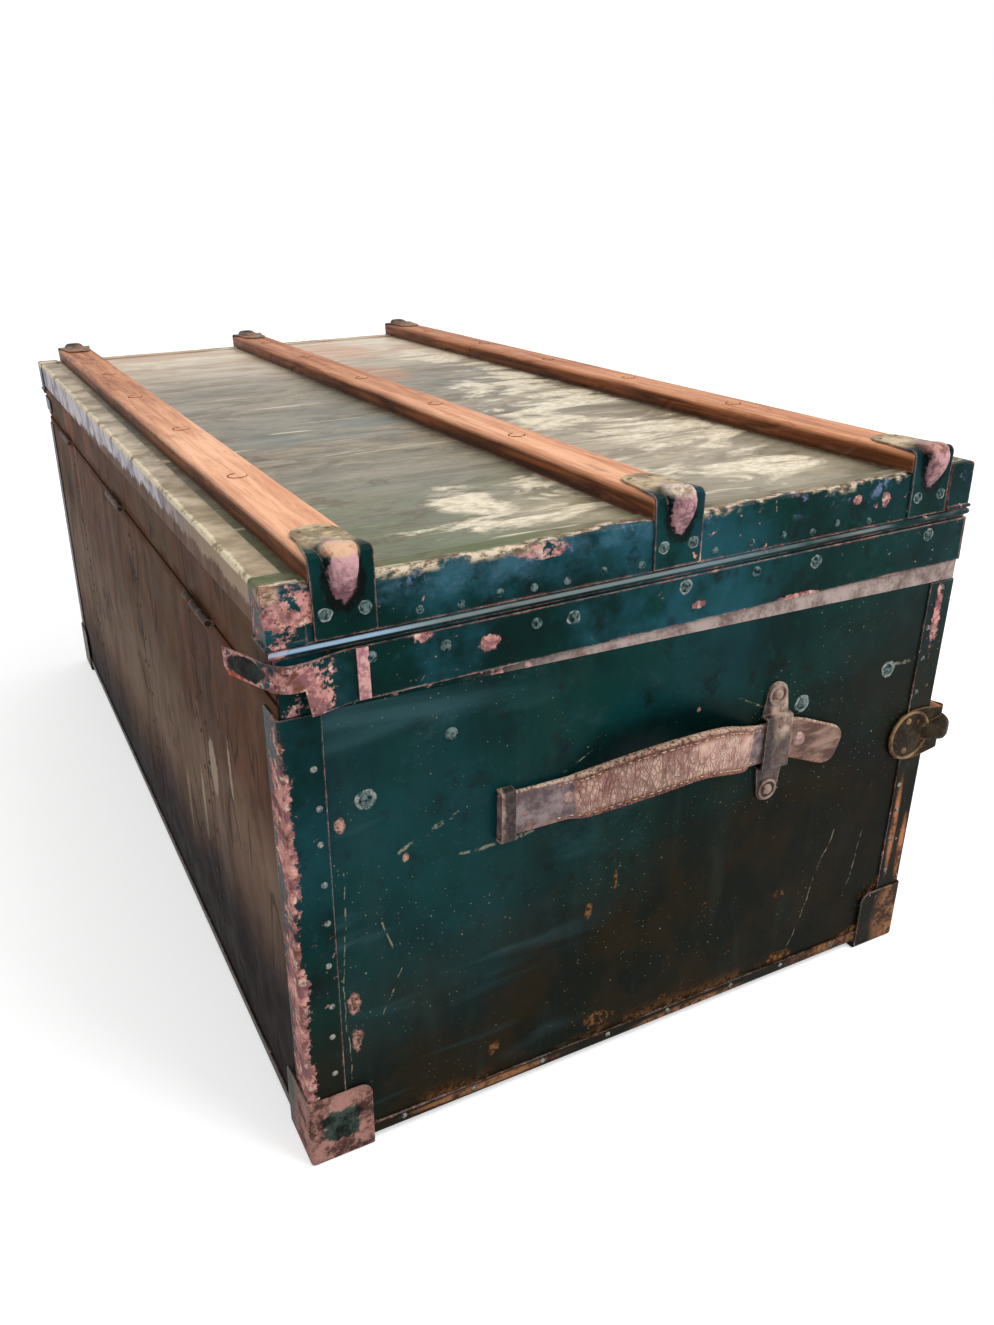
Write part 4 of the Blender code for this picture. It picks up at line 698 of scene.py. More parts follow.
def strap_leather(name):
    """Finely cracked, wrinkled leather with dark edges; smooth grey-mauve and brown on the tabs."""
    f = Finish(name)
    along = f.node("ShaderNodeAttribute", attribute_name="along").outputs["Fac"]
    across = f.node("ShaderNodeAttribute", attribute_name="across").outputs["Fac"]
    pad = f.node("ShaderNodeAttribute", attribute_name="pad").outputs["Fac"]
    fine = f.noise(460, 4, 0.65, shift=5)
    middling = f.noise(95, 4, 0.6, shift=7)
    crackle = f.cells(300, stretch=(1, 1.5, 0.7), shift=2, feature="DISTANCE_TO_EDGE")
    coarse = f.cells(120, stretch=(1, 1.8, 0.55), shift=6, feature="DISTANCE_TO_EDGE")
    folds = f.spots(0.52, 0.64, 260, 2, 0.5, stretch=(1, 1, 0.16), shift=18, twist=0.6)
    crack = f.most(f.times(f.ramp(crackle, 0.11, 0.02), 0.75), f.ramp(coarse, 0.055, 0.012),
                   f.times(folds, 0.7))
    on_pad = f.ramp(f.plus(pad, f.centred(middling, 0.6)), 0.30, 0.70)
    crack = f.times(crack, on_pad, f.spots(0.30, 0.52, 26, 2, shift=26))
    skin = f.blend(middling, 0.34, 0.60, (150, 108, 98), (192, 156, 142))
    skin = f.over(skin, (206, 176, 154), f.spots(0.48, 0.64, 34, 3, 0.6, shift=4), 0.6)
    tab = f.blend(middling, 0.36, 0.62, (82, 68, 70), (132, 116, 116))
    brown = f.blend(f.noise(120, 4, 0.6, stretch=(1, 0.3, 1), shift=28), 0.36, 0.62,
                    (78, 54, 46), (140, 112, 98))
    tab = f.blend(along, -0.080, -0.110, tab, brown)
    colour = f.blend(f.plus(pad, f.centred(middling, 0.5)), 0.30, 0.62, tab, skin)
    colour = f.over(colour, (84, 52, 50), crack, 0.62)
    rim = f.ramp(f.plus(f.calc("ABSOLUTE", across), f.centred(middling, 0.4)), 0.54, 0.84)
    colour = f.over(colour, f.blend(fine, 0.4, 0.6, (60, 32, 34), (128, 82, 76)), rim,
                    f.plus(f.times(on_pad, 0.55), 0.30))
    crest = f.times(f.ramp(f.plus(across, f.centred(middling, 0.3)), 0.86, 1.0),
                    f.ramp(fine, 0.36, 0.56), 0.75)
    colour = f.mix(crest, colour, (206, 178, 150))
    wear = f.times(f.ramp(f.plus(f.times(across, -1.0), f.centred(middling, 0.5)), 0.80, 0.98),
                   f.ramp(fine, 0.46, 0.6))
    colour = f.over(colour, (186, 112, 78), wear, 0.6)
    f.bump(f.plus(f.times(crack, -1.0), f.times(fine, 0.4), f.times(middling, 0.4)), 0.0005)
    return f.done(colour, f.plus(f.times(crack, 0.2), f.times(middling, 0.3), 0.42), specular=GLOSSY)


def simple(name, lid, dark, light, scale, height):
    """A mottled finish for small things."""
    f = Finish(name, lid)
    fine = f.noise(scale, 4, 0.65, shift=5)
    f.bump(fine, height)
    return f.done(f.blend(fine, 0.38, 0.62, dark, light), f.plus(f.times(fine, 0.3), 0.5))


# Pieces

FOOT_SUNK = 0.0004


def standing(place, out):
    """A place and a direction as vectors, and the turn that stands +Z along the direction."""
    place, out = Vector(place), Vector(out)
    return place, out, Vector((0, 0, 1)).rotation_difference(out).to_matrix()


def circle(sides):
    """Angles round a full turn."""
    return [2 * math.pi * k / sides for k in range(sides)]


def skin(mesh, rows):
    """Faces between rows of points, each row closed on itself."""
    count = len(rows[0])
    for first, second in zip(rows, rows[1:]):
        for k in range(count):
            after = (k + 1) % count
            mesh.faces.new((first[k], first[after], second[after], second[k]))


def tube(mesh, rows):
    """A skin with both its ends closed."""
    skin(mesh, rows)
    mesh.faces.new(list(reversed(rows[0])))
    mesh.faces.new(rows[-1])


def dome(mesh, place, out, radius, height, sides=14, rings=4):
    """A domed head on a surface at a place, standing along out."""
    place, out, turn = standing(place, out)
    rows = []
    for i in range(rings):
        angle = math.pi / 2 * i / rings
        r, z = radius * math.cos(angle), height * math.sin(angle)
        rows.append([mesh.verts.new(place + turn @ Vector((r * math.cos(a), r * math.sin(a), z)))
                     for a in circle(sides)])
    foot = [mesh.verts.new(v.co - out * FOOT_SUNK) for v in rows[0]]
    rows.insert(0, foot)
    top = mesh.verts.new(place + out * height)
    skin(mesh, rows)
    for k in range(sides):
        mesh.faces.new((rows[-1][k], rows[-1][(k + 1) % sides], top))
    mesh.faces.new(list(reversed(foot)))


def halo(mesh, place, out, radius, seed, thick=0.00012):
    """A ragged thin flake of bare primer round a rivet."""
    place, out, turn = standing(place, out)
    phase = random.Random(seed).random() * 10
    rim = []
    for a in circle(32):
        r = radius * (1 + 0.16 * noise.noise(Vector((math.cos(a) * 1.6 + phase, math.sin(a) * 1.6, phase))))
        rim.append(turn @ Vector((r * math.cos(a), r * math.sin(a), 0)))
    upper = [mesh.verts.new(place + p + out * thick) for p in rim]
    lower = [mesh.verts.new(place + p * 1.03 - out * FOOT_SUNK) for p in rim]
    mesh.faces.new(upper)
    mesh.faces.new(list(reversed(lower)))
    skin(mesh, [lower, upper])


def ring(mesh, place, out, radius, thick, sides=28, facets=8, share=1.0):
    """A raised ring, or an arc of it, on a surface."""
    place, out, turn = standing(place, out)
    rows = []
    for k in range(sides + 1):
        a = 2 * math.pi * share * k / sides
        way = Vector((math.cos(a), math.sin(a), 0))
        row = []
        for b in circle(facets):
            point = way * (radius + thick * math.cos(b)) + Vector((0, 0, thick * math.sin(b)))
            row.append(mesh.verts.new(place + turn @ point))
        rows.append(row)
    for first, second in zip(rows, rows[1:]):
        for k in range(facets):
            after = (k + 1) % facets
            mesh.faces.new((first[k], second[k], second[after], first[after]))
    mesh.faces.new(list(reversed(rows[0])))
    mesh.faces.new(rows[-1])


def block(mesh, low, high):
    """A thin block with softened edges."""
    part = bmesh.new()
    bmesh.ops.create_cube(part, size=1.0)
    low, high = Vector(low), Vector(high)
    bmesh.ops.scale(part, vec=high - low, verts=part.verts)
    bmesh.ops.translate(part, vec=(high + low) / 2, verts=part.verts)
    bmesh.ops.bevel(part, geom=part.edges[:], offset=min(high - low) * 0.3, segments=2,
                    affect="EDGES", profile=0.5)
    data = bpy.data.meshes.new("part")
    part.to_mesh(data)
    part.free()
    mesh.from_mesh(data)
    bpy.data.meshes.remove(data)


def piece(name, mesh, material, body, lid=False, smooth=True):
    """Hand a finished mesh to a body; one drawn for the shut lid is turned to its rest."""
    if lid:
        bmesh.ops.transform(mesh, matrix=SHUT_TO_REST, verts=mesh.verts)
    bmesh.ops.recalc_face_normals(mesh, faces=mesh.faces)
    data = bpy.data.meshes.new(name)
    mesh.to_mesh(data)
    mesh.free()
    if smooth:
        data.shade_smooth()
        data.set_sharp_from_angle(angle=math.radians(40))
    obj = bpy.data.objects.new(name, data)
    bpy.context.scene.collection.objects.link(obj)
    data.materials.append(material)
    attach(obj, body)
    return obj


UP = (0, 0, 1)
# Radius and height of heads
RIVET = (0.0042, 0.0019)
VALANCE_RIVET = (0.0036, 0.0016)
CLAMP_RIVET = (0.0030, 0.0014)
BINDING_RIVET = (0.0026, 0.0011)
NAIL = (0.0021, 0.0007)
BACK_NAIL = (0.0019, 0.0006)
SLAT_NAIL = (0.0052, 0.0003)
FRONT_RIVET = (0.0026, 0.0012)
LOOP_RIVET = (0.0040, 0.0022)
# Radius and thickness of rings
SLAT_RING = (0.0062, 0.00045)
PLATE_RIM = (0.0192, 0.0011)
WASHER = (0.0072, 0.0010)
# Radii of the worn marks round rivets
WALL_MARK, VALANCE_MARK, CLAMP_MARK = 0.0064, 0.0046, 0.0039
CLAMP_RIVET_DOWN, LOOP_RIVET_IN = 0.031, 0.0090
CORNER_NAIL_IN, CORNER_NAIL_LOW, CORNER_NAIL_STEP = 0.0165, 0.070, 0.027
PAN_NAIL_Z = 0.0125
PAN_NAIL_Y = (-0.19, -0.135, -0.08, -0.02, 0.035, 0.09, 0.145, 0.195)
SLAT_NAIL_X = (-0.265, -0.105, 0.055, 0.215, 0.355)
CLAMP_NAIL_IN = 0.0395
BACK_NAIL_LOW, BACK_NAIL_STEP, BACK_NAIL_SPREAD = 0.030, 0.022, 0.012
WALL = HALF_L + LAYER
BAND_WALL = HALF_L + 2 * LAYER
CLAMP_WALL = HALF_L + 0.0028
VALANCE_ROW = VALANCE_HIGH - 0.0085
# Rivets seen on the photographed end: y and z, those of the lid for the shut lid
BINDING_Y = (0.172, 0.147, 0.123, 0.101, 0.079, 0.054, 0.027, -0.028, -0.057, -0.083,
             -0.108, -0.129, -0.158)
VALANCE_Y = (0.202, 0.158, 0.100, 0.075, -0.006, -0.062, -0.113, -0.217)
WALL_RIVETS = ((0.155, 0.287, 0), (0.209, 0.258, 1), (-0.118, 0.246, 1), (-0.200, 0.256, 1))


def near_far(make):
    """Do something for both ends."""
    for name, side in (("near", -1), ("far", 1)):
        make(name, side)


def end_rivets(name, side):
    """Rivets and nails on one end: base, then lid."""
    chance = random.Random(5 if side < 0 else 8)
    out = (side, 0, 0)

    def jitter(amount):
        return (chance.random() - 0.5) * 2 * amount

    heads, flakes = bmesh.new(), bmesh.new()
    for y, z, ringed in WALL_RIVETS:
        dome(heads, (side * WALL, y, z), out, *RIVET)
        if ringed:
            halo(flakes, (side * WALL, y, z), out, WALL_MARK, chance.random())
    piece(f"rivets_base_{name}", heads, looks["rivet_green"], "base")
    piece(f"rivet_marks_{name}", flakes, looks["chip"], "base", smooth=False)
    nails = bmesh.new()
    for edge in (1, -1):
        z = CORNER_NAIL_LOW
        while z < SEAM - 0.020:
            y = MIDDLE_Y + edge * (HALF_D - CORNER_NAIL_IN) + jitter(0.0012)
            dome(nails, (side * BAND_WALL, y, z), out, *NAIL)
            z += CORNER_NAIL_STEP + jitter(0.004)
    for y in PAN_NAIL_Y:
        dome(nails, (side * BAND_WALL, y + jitter(0.004), PAN_NAIL_Z), out, *NAIL)
    piece(f"nails_base_{name}", nails, looks["nail"], "base")
    heads, flakes = bmesh.new(), bmesh.new()
    for y in BINDING_Y:
        dome(heads, (side * WALL, y, BINDING_ROW + jitter(0.0015)), out, *BINDING_RIVET)
    for y in VALANCE_Y:
        z = VALANCE_ROW + jitter(0.002)
        dome(heads, (side * BAND_WALL, y, z), out, *VALANCE_RIVET)
        if chance.random() < 0.5:
            halo(flakes, (side * BAND_WALL, y, z), out, VALANCE_MARK, chance.random())
    for row in ROWS:
        for shift in (-0.011, 0.011):
            place = (side * CLAMP_WALL, MIDDLE_Y + row + shift, SLAT_TOP - CLAMP_RIVET_DOWN)
            dome(heads, place, out, *CLAMP_RIVET)
            halo(flakes, place, out, CLAMP_MARK, chance.random())
    piece(f"rivets_lid_{name}", heads, looks["rivet_green"], "lid", lid=True)
    piece(f"rivet_marks_lid_{name}", flakes, looks["chip"], "lid", lid=True, smooth=False)


def slat_nails():
    """Flat nail heads along the slats, each in a pressed ring, and two small nails in every clamp."""
    heads, marks = bmesh.new(), bmesh.new()
    for row in ROWS:
        for k, x in enumerate(SLAT_NAIL_X):
            along, across = 0.012 * math.sin(5 * k + row * 20), 0.0015 * math.cos(3 * k)
            place = (x + along, MIDDLE_Y + row + across, SLAT_TOP)
            dome(heads, place, UP, *SLAT_NAIL, sides=20, rings=2)
            ring(marks, place, UP, *SLAT_RING, share=0.72)
        for end in (-1, 1):
            for shift in (-0.008, 0.008):
                place = (end * (HALF_L - CLAMP_NAIL_IN), MIDDLE_Y + row + shift, SLAT_TOP + 0.0012)
                dome(marks, place, UP, *BACK_NAIL)
    piece("slat_nails", heads, looks["slat_lid"], "lid", lid=True)
    piece("slat_nail_rings", marks, looks["slat_ring"], "lid", lid=True)


# Bulges of the base's back sheet: how far they stand off the wood, and their size along x and z
BULGE_MIDDLE, BULGE_WAVE, BULGE_RIPPLE = 0.0013, 0.0020, 0.0010
BULGES_X, BULGES_Z, RIPPLE_TIMES = 11.0, 6.0, 2.8
HELD_EDGE, FREE_EDGE = 0.034, 0.075
BULGE_STEP = 0.007


def smooth(share):
    """0 up to 0 and 1 from 1, smooth between."""
    share = min(max(share, 0.0), 1.0)
    return share * share * (3 - 2 * share)


def free_share(gap):
    """0 where bindings hold a sheet against the wood, 1 well away from its edge."""
    return smooth((gap - HELD_EDGE) / (FREE_EDGE - HELD_EDGE))


def back_bulge(x, z):
    """How far the back sheet stands off the wood; the nailed seams hold it down too."""
    low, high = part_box("base_sheet_back")
    held = free_share(min(x - low.x, high.x - x)) * free_share(min(z - low.z, high.z - z) + HELD_EDGE / 2)
    for seam in BACK_SEAMS:
        held *= 0.25 + 0.75 * free_share(abs(x - seam) + HELD_EDGE)
    wave = noise.noise(Vector((x * BULGES_X, z * BULGES_Z, 3.0)))
    ripple = noise.noise(Vector((x * BULGES_X * RIPPLE_TIMES, z * BULGES_Z * RIPPLE_TIMES, 8.0)))
    return max(BULGE_MIDDLE + BULGE_WAVE * wave + BULGE_RIPPLE * ripple, 0.0) * held


def edge_of(grid):
    """The points round the edge of a grid, in order."""
    tops = [column[-1] for column in reversed(grid[:-1])]
    return [column[0] for column in grid] + grid[-1][1:] + tops + list(reversed(grid[0][1:-1]))


def make_back_sheet():
    """The base's back sheet, bulged off the wood between its nailed edges."""
    low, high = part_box("base_sheet_back")
    columns = round((high.x - low.x) / BULGE_STEP)
    rows = round((high.z - low.z) / BULGE_STEP)
    mesh = bmesh.new()
    grids = []
    for y in (low.y, high.y):
        grid = []
        for i in range(columns + 1):
            x = low.x + (high.x - low.x) * i / columns
            heights = (low.z + (high.z - low.z) * k / rows for k in range(rows + 1))
            grid.append([mesh.verts.new((x, y + back_bulge(x, z), z)) for z in heights])
        grids.append(grid)
    for grid in grids:
        for first, second in zip(grid, grid[1:]):
            for k in range(rows):
                mesh.faces.new((first[k], second[k], second[k + 1], first[k + 1]))
    skin(mesh, [edge_of(grid) for grid in grids])
    sheet = piece("back_sheet_bulged", mesh, looks["back_base"], "base")
    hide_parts("base_sheet_back")


def back_nails():
    """Rows of small nails beside the seams of the back sheet."""
    chance = random.Random(11)
    mesh = bmesh.new()
    wall = BACK_Y + LAYER
    for x in BACK_SEAMS:
        for shift in (-0.008, 0.008):
            z = BACK_NAIL_LOW
            while z < SEAM - 0.012:
                place = x + shift + (chance.random() - 0.5) * 0.002
                dome(mesh, (place, wall + back_bulge(place, z), z), (0, 1, 0), *BACK_NAIL, sides=10)
                z += BACK_NAIL_STEP + chance.random() * BACK_NAIL_SPREAD
    piece("nails_base_back", mesh, looks["nail_dark"], "base")


def valance_laps(name, side):
    """The raised edge of the lapped corner piece on an end valance."""
    mesh = bmesh.new()
    x = side * (BAND_WALL + 0.0005)
    block(mesh, (x - 0.0006, 0.2035, VALANCE_LOW + 0.0006), (x + 0.0006, 0.2105, VALANCE_HIGH - 0.0006))
    piece(f"valance_lap_{name}", mesh, looks["primer_strip"], "lid", lid=True)


def front_clamp_details(name, side):
    """Rim and rivets on the round plate of a front clamp."""
    mesh = bmesh.new()
    low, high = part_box(f"clamp_front_{name}")
    centre = Vector((side * (HALF_L + 3 * LAYER + 0.0002), MIDDLE_Y - HALF_D + 0.018, (low.z + high.z) / 2))
    out = (side, 0, 0)
    ring(mesh, centre, out, *PLATE_RIM)
    for shift in (-0.0125, 0.0125):
        dome(mesh, centre + Vector((0, 0.0035, shift)), out, *FRONT_RIVET)
    piece(f"front_clamp_rim_{name}", mesh, looks["rivet_tan"], "base")


def loop_details(name, side):
    """Rivets on washers in both ears of the front handle loop."""
    mesh = bmesh.new()
    low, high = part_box(f"handle_loop_{name}_front")
    middle = (low.y + high.y) / 2
    wall = side * (HALF_L + 2 * LAYER + 0.0013)
    for z in (high.z - LOOP_RIVET_IN, low.z + LOOP_RIVET_IN):
        dome(mesh, (wall, middle, z), (side, 0, 0), *LOOP_RIVET, sides=18, rings=5)
        ring(mesh, (wall, middle, z), (side, 0, 0), *WASHER)
    piece(f"loop_rivets_{name}", mesh, looks["rivet_iron"], "base")


# Straps, on the same centre line as the model's

LOOP_BACK, LOOP_FRONT = 0.1190, 0.0940
LOOP_FRONT_WIDTH, LOOP_BACK_WIDTH = 0.0230, 0.0100
TAB_THICK, STRAP_THICK = 0.0040, 0.0075
TAB_WIDTH, STRAP_WIDTH = 0.0305, 0.0325
BOW, RISE = 0.0300, 0.0255
STAND = 0.0007
PAD_TAPER = 0.0120
TAB_PAST = 0.0500
DROOP = math.tan(math.radians(22.0))
DROOP_START, DROOP_EASE = -0.0050, 0.0200
TIP_BLUNT, TIP_ROUND = 0.45, 0.0110
PAD_BACK = LOOP_BACK - 0.0430
ARCH_FRONT = 0.0130 - LOOP_FRONT
STITCH_ROW, STITCH_PITCH, STITCH_RADIUS = 0.78, 0.0042, 0.00042
STRAP_STEPS, CREASE = 260, 0.00055
STRAP_FIRST = LOOP_BACK + LOOP_BACK_WIDTH / 2
STRAP_LAST = -LOOP_FRONT - LOOP_FRONT_WIDTH / 2 - TAB_PAST


def pad_share(y):
    """0 on the tabs, 1 on the padded middle."""
    return smooth(min((PAD_BACK - y) / PAD_TAPER, (y + LOOP_FRONT - 0.0200) / PAD_TAPER))


def strap_line(y):
    """Centre line: out from the end, y, height."""
    t = min(max((PAD_BACK - y) / (PAD_BACK - ARCH_FRONT), 0.0), 1.0)
    bump = math.sin(math.pi * t) ** 2
    lowest = 2 * LAYER - 0.001 + STAND + TAB_THICK / 2
    out = lowest + bump * BOW + (STRAP_THICK - TAB_THICK) * pad_share(y) / 2
    past = max(DROOP_START - LOOP_FRONT - y, 0.0)
    fall = past ** 2 / (2 * DROOP_EASE) if past < DROOP_EASE else past - DROOP_EASE / 2
    return Vector((out, y, STRAP_Z + bump * RISE - fall * DROOP))


def strap_half_width(y):
    """Half of the leather's width."""
    width = TAB_WIDTH + (STRAP_WIDTH - TAB_WIDTH) * pad_share(y)
    from_tip = y - STRAP_LAST
    if from_tip < TIP_ROUND:
        bulge = math.sqrt(max(1 - (1 - from_tip / TIP_ROUND) ** 2, 0.0))
        width *= TIP_BLUNT + (1 - TIP_BLUNT) * bulge
    return width / 2


def strap_axes(y):
    """Directions across and through the leather."""
    along = (strap_line(y - 0.001) - strap_line(y + 0.001)).normalized()
    wide = (Vector((0, 0, 1)) - along * along.z).normalized()
    return wide, wide.cross(along)


def strap_half_thick(y):
    """Half of the leather's thickness."""
    return (TAB_THICK + (STRAP_THICK - TAB_THICK) * pad_share(y)) / 2


def strap_spot(y, across, lift):
    """A place on the strap's outer face."""
    wide, thick = strap_axes(y)
    return strap_line(y) + wide * strap_half_width(y) * across + thick * (strap_half_thick(y) + lift), thick


def strap_section(pad):
    """Round the leather: outer face crowned between its stitch grooves, soft edges, flat inner face."""
    points = []
    for i in range(19):
        w = 0.90 - 1.80 * i / 18
        crown = 1.0 - 0.10 * abs(w) ** 2
        groove = math.exp(-((abs(w) - STITCH_ROW) / 0.055) ** 2) * 0.16
        points.append((w, crown - groove * pad))
    low = [(-0.96, 0.72), (-1.0, 0.35), (-1.0, -0.35), (-0.96, -0.75)]
    inner = [(-0.9 + 1.8 * i / 8, -1.0) for i in range(9)]
    return points + low + inner + [(-w, t) for w, t in reversed(low)]


def make_strap(name, side):
    """The leather of one strap, with its wrinkles."""
    mesh = bmesh.new()
    rows, facts = [], []
    places = [STRAP_FIRST + (STRAP_LAST - STRAP_FIRST) * i / STRAP_STEPS for i in range(STRAP_STEPS + 1)]
    places.insert(-1, STRAP_LAST + TIP_ROUND / 12)
    places.insert(-2, STRAP_LAST + TIP_ROUND / 4)
    for y in sorted(places, reverse=True):
        wide, thick = strap_axes(y)
        pad = pad_share(y)
        half_w, half_t = strap_half_width(y), strap_half_thick(y)
        row = []
        for w, t in strap_section(pad):
            broad = noise.noise(Vector((y * 420, w * 1.6, side)))
            narrow = noise.noise(Vector((y * 950, w * 5, side)))
            crease = min(broad * 0.5 + narrow * 0.5, 0.15)
            lift = crease * CREASE * (0.25 + 0.75 * pad) if t > 0.5 else 0.0
            point = strap_line(y) + wide * half_w * w + thick * (half_t * t + lift)
            row.append(mesh.verts.new((side * (HALF_L + point.x), MIDDLE_Y + point.y, point.z)))
            facts.append((y, w, pad))
        rows.append(row)
    tube(mesh, rows)
    strap = piece(f"strap_{name}", mesh, looks["strap"], f"{name}_handle")
    for index, key in enumerate(("along", "across", "pad")):
        layer = strap.data.attributes.new(key, "FLOAT", "POINT")
        layer.data.foreach_set("value", [fact[index] for fact in facts])
    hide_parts(f"handle_{name}")


def on_strap(side, y, across, lift):
    """Place and outward direction on a strap, in the trunk's metres."""
    spot, thick = strap_spot(y, across, lift)
    place = Vector((side * (HALF_L + spot.x), MIDDLE_Y + spot.y, spot.z))
    return place, Vector((side * thick.x, thick.y, thick.z))


def strap_stitches(name, side):
    """Rows of stitches in the grooves along both edges."""
    mesh = bmesh.new()
    first, last = LOOP_BACK - 0.036, 0.012 - LOOP_FRONT
    for k in range(int((first - last) / STITCH_PITCH)):
        y = first - STITCH_PITCH * k
        for across in (-STITCH_ROW, STITCH_ROW):
            start, out = on_strap(side, y, across, -0.0003)
            stop, _ = on_strap(side, y - STITCH_PITCH * 0.66, across, -0.0003)
            rod(mesh, start, stop, out, STITCH_RADIUS)
    piece(f"strap_stitches_{name}", mesh, looks["thread"], f"{name}_handle")


# Along a stitch: share of its length, of its radius, and how far it lifts in radii
STITCH_SHAPE = ((0.0, 0.5, -0.6), (0.2, 1.0, 0.1), (0.5, 1.05, 0.45), (0.8, 1.0, 0.1), (1.0, 0.5, -0.6))


def rod(mesh, start, stop, out, radius, sides=6):
    """A short stitch, humped in its middle."""
    along = (stop - start).normalized()
    across = along.cross(out).normalized()
    rows = []
    for t, share, lift in STITCH_SHAPE:
        centre = start.lerp(stop, t) + out * radius * lift
        rows.append([mesh.verts.new(centre + (across * math.cos(a) + out * math.sin(a)) * radius * share)
                     for a in circle(sides)])
    tube(mesh, rows)


# Studs of a strap: y, share of its half width, radius, height
STRAP_STUDS = ((-LOOP_FRONT - LOOP_FRONT_WIDTH / 2 - 0.0100, 0.0, 0.0056, 0.0030),
               (LOOP_BACK - 0.0440, 0.10, 0.0042, 0.0022), (LOOP_BACK - 0.0130, -0.10, 0.0020, 0.0010),
               (LOOP_BACK - 0.0150, -0.62, 0.0022, 0.0012), (0.0240 - LOOP_FRONT, 0.30, 0.0022, 0.0010))


def strap_studs(name, side):
    """Rivets and nails through the strap and its tabs."""
    mesh = bmesh.new()
    for y, across, radius, height in STRAP_STUDS:
        place, out = on_strap(side, y, across, -0.0001)
        dome(mesh, place, out, radius, height, sides=18, rings=5)
    piece(f"strap_studs_{name}", mesh, looks["stud"], f"{name}_handle")


# The finishes

# Tints: dark and light colour
BROWN_TINT = ((52, 32, 20), (140, 96, 62))
# Painted shade: near black, for the clamps' hollows
SHADE_TINT = ((3, 8, 8), (10, 24, 24))
GREEN_TINT = ((6, 16, 15), (18, 46, 46))
TONGUE_TINT = ((122, 106, 78), (192, 168, 134))
CREST_TINTS = (((138, 98, 76), (206, 168, 136)), ((142, 122, 108), (214, 198, 178)),
               ((112, 76, 70), (180, 134, 122)))
NOSE_TINT = ((116, 80, 88), (188, 146, 148))
WINDOW_TINT = ((12, 22, 20), (44, 64, 58))
FRAME_TINT = ((62, 42, 36), (158, 116, 106))
RUST_TINT = ((74, 40, 22), (168, 108, 70))
CORNER_TINT = ((150, 70, 56), (220, 128, 104))
CLAMP_ROWS = [MIDDLE_Y + row for row in ROWS]


# Worn to primer
BINDING_WEAR = [near_wall(0.2575, 0.245, 0.0060, 0.070), near_wall(0.2575, 0.135, 0.0056, 0.055),
                near_wall(0.2565, 0.065, 0.0066, 0.020), near_wall(0.2265, 0.100, 0.0040, 0.034),
                near_wall(-0.2400, 0.292, 0.0040, 0.020)]
SHOE_WEAR = [near_wall(0.238, 0.026, 0.034, 0.040, 0.03)]
VALANCE_WEAR = [near_wall(0.2440, 0.338, 0.0150, 0.015, 0.03),
                ((-0.444, 0.268, 0.3425), (0.022, 0.02, 0.009)), near_wall(0.2330, 0.326, 0.007, 0.008),
                near_wall(0.1315, 0.336, 0.0055, 0.0045), near_wall(-0.018, 0.330, 0.0045, 0.0022),
                near_wall(0.172, 0.350, 0.005, 0.004), near_wall(-0.100, 0.320, 0.016, 0.0018)]
NEAR_LID_WEAR = [near_wall(0.2490, 0.380, 0.010, 0.017), near_wall(0.236, 0.378, 0.014, 0.009),
                 near_wall(0.2540, 0.360, 0.006, 0.012), near_wall(-0.145, 0.378, 0.004, 0.004),
                 near_wall(-0.172, 0.375, 0.003, 0.004), near_wall(0.098, 0.384, 0.020, 0.004)]
FAR_LID_WEAR = [((HALF_L, -0.245, 0.378), (0.02, 0.010, 0.014))]
# Shining softly
NEAR_LID_SHINE = [near_wall(0.140, 0.380, 0.07, 0.010), near_wall(0.04, 0.384, 0.05, 0.005)]
FAR_LID_SHINE = [((HALF_L, 0.18, 0.380), (0.02, 0.06, 0.010))]
# Tinted: places, dark colour, light colour, softness
BINDING_TINTS = [([near_wall(-0.2360, 0.112, 0.0030, 0.040), near_wall(-0.2480, 0.090, 0.0030, 0.028)],
                  *RUST_TINT, 0.4)]
PAN_TINTS = [([near_wall(0.13, 0.012, 0.06, 0.003, 0.01), near_wall(-0.04, 0.010, 0.05, 0.003, 0.01),
               near_wall(-0.18, 0.012, 0.04, 0.005, 0.01)], *BROWN_TINT, 0.3)]
SHOE_WINDOW = [near_wall(0.2365 + dy, 0.0285 + dz, 0.0085, 0.0085)
               for dy in (-0.0045, 0.0045) for dz in (-0.0045, 0.0045)]
SHOE_TINTS = [([near_wall(0.238, 0.026, 0.032, 0.038, 0.03)], *FRAME_TINT, 0.3),
              (SHOE_WINDOW, *WINDOW_TINT, 0.15),
              ([near_wall(-0.245, 0.022, 0.016, 0.034, 0.03)], *BROWN_TINT, 0.40)]
VALANCE_TINTS = [([((-0.4440, 0.268, 0.3430), (0.0165, 0.02, 0.0066))], *GREEN_TINT, 0.08),
                 ([((-0.4300, 0.271, 0.3355), (0.0120, 0.02, 0.0022))], *CORNER_TINT, 0.2)]


def clamp_spots(x, z, radii):
    """The same patch on each clamp of a row of clamps."""
    return [((x, y, z), radii) for y in CLAMP_ROWS]


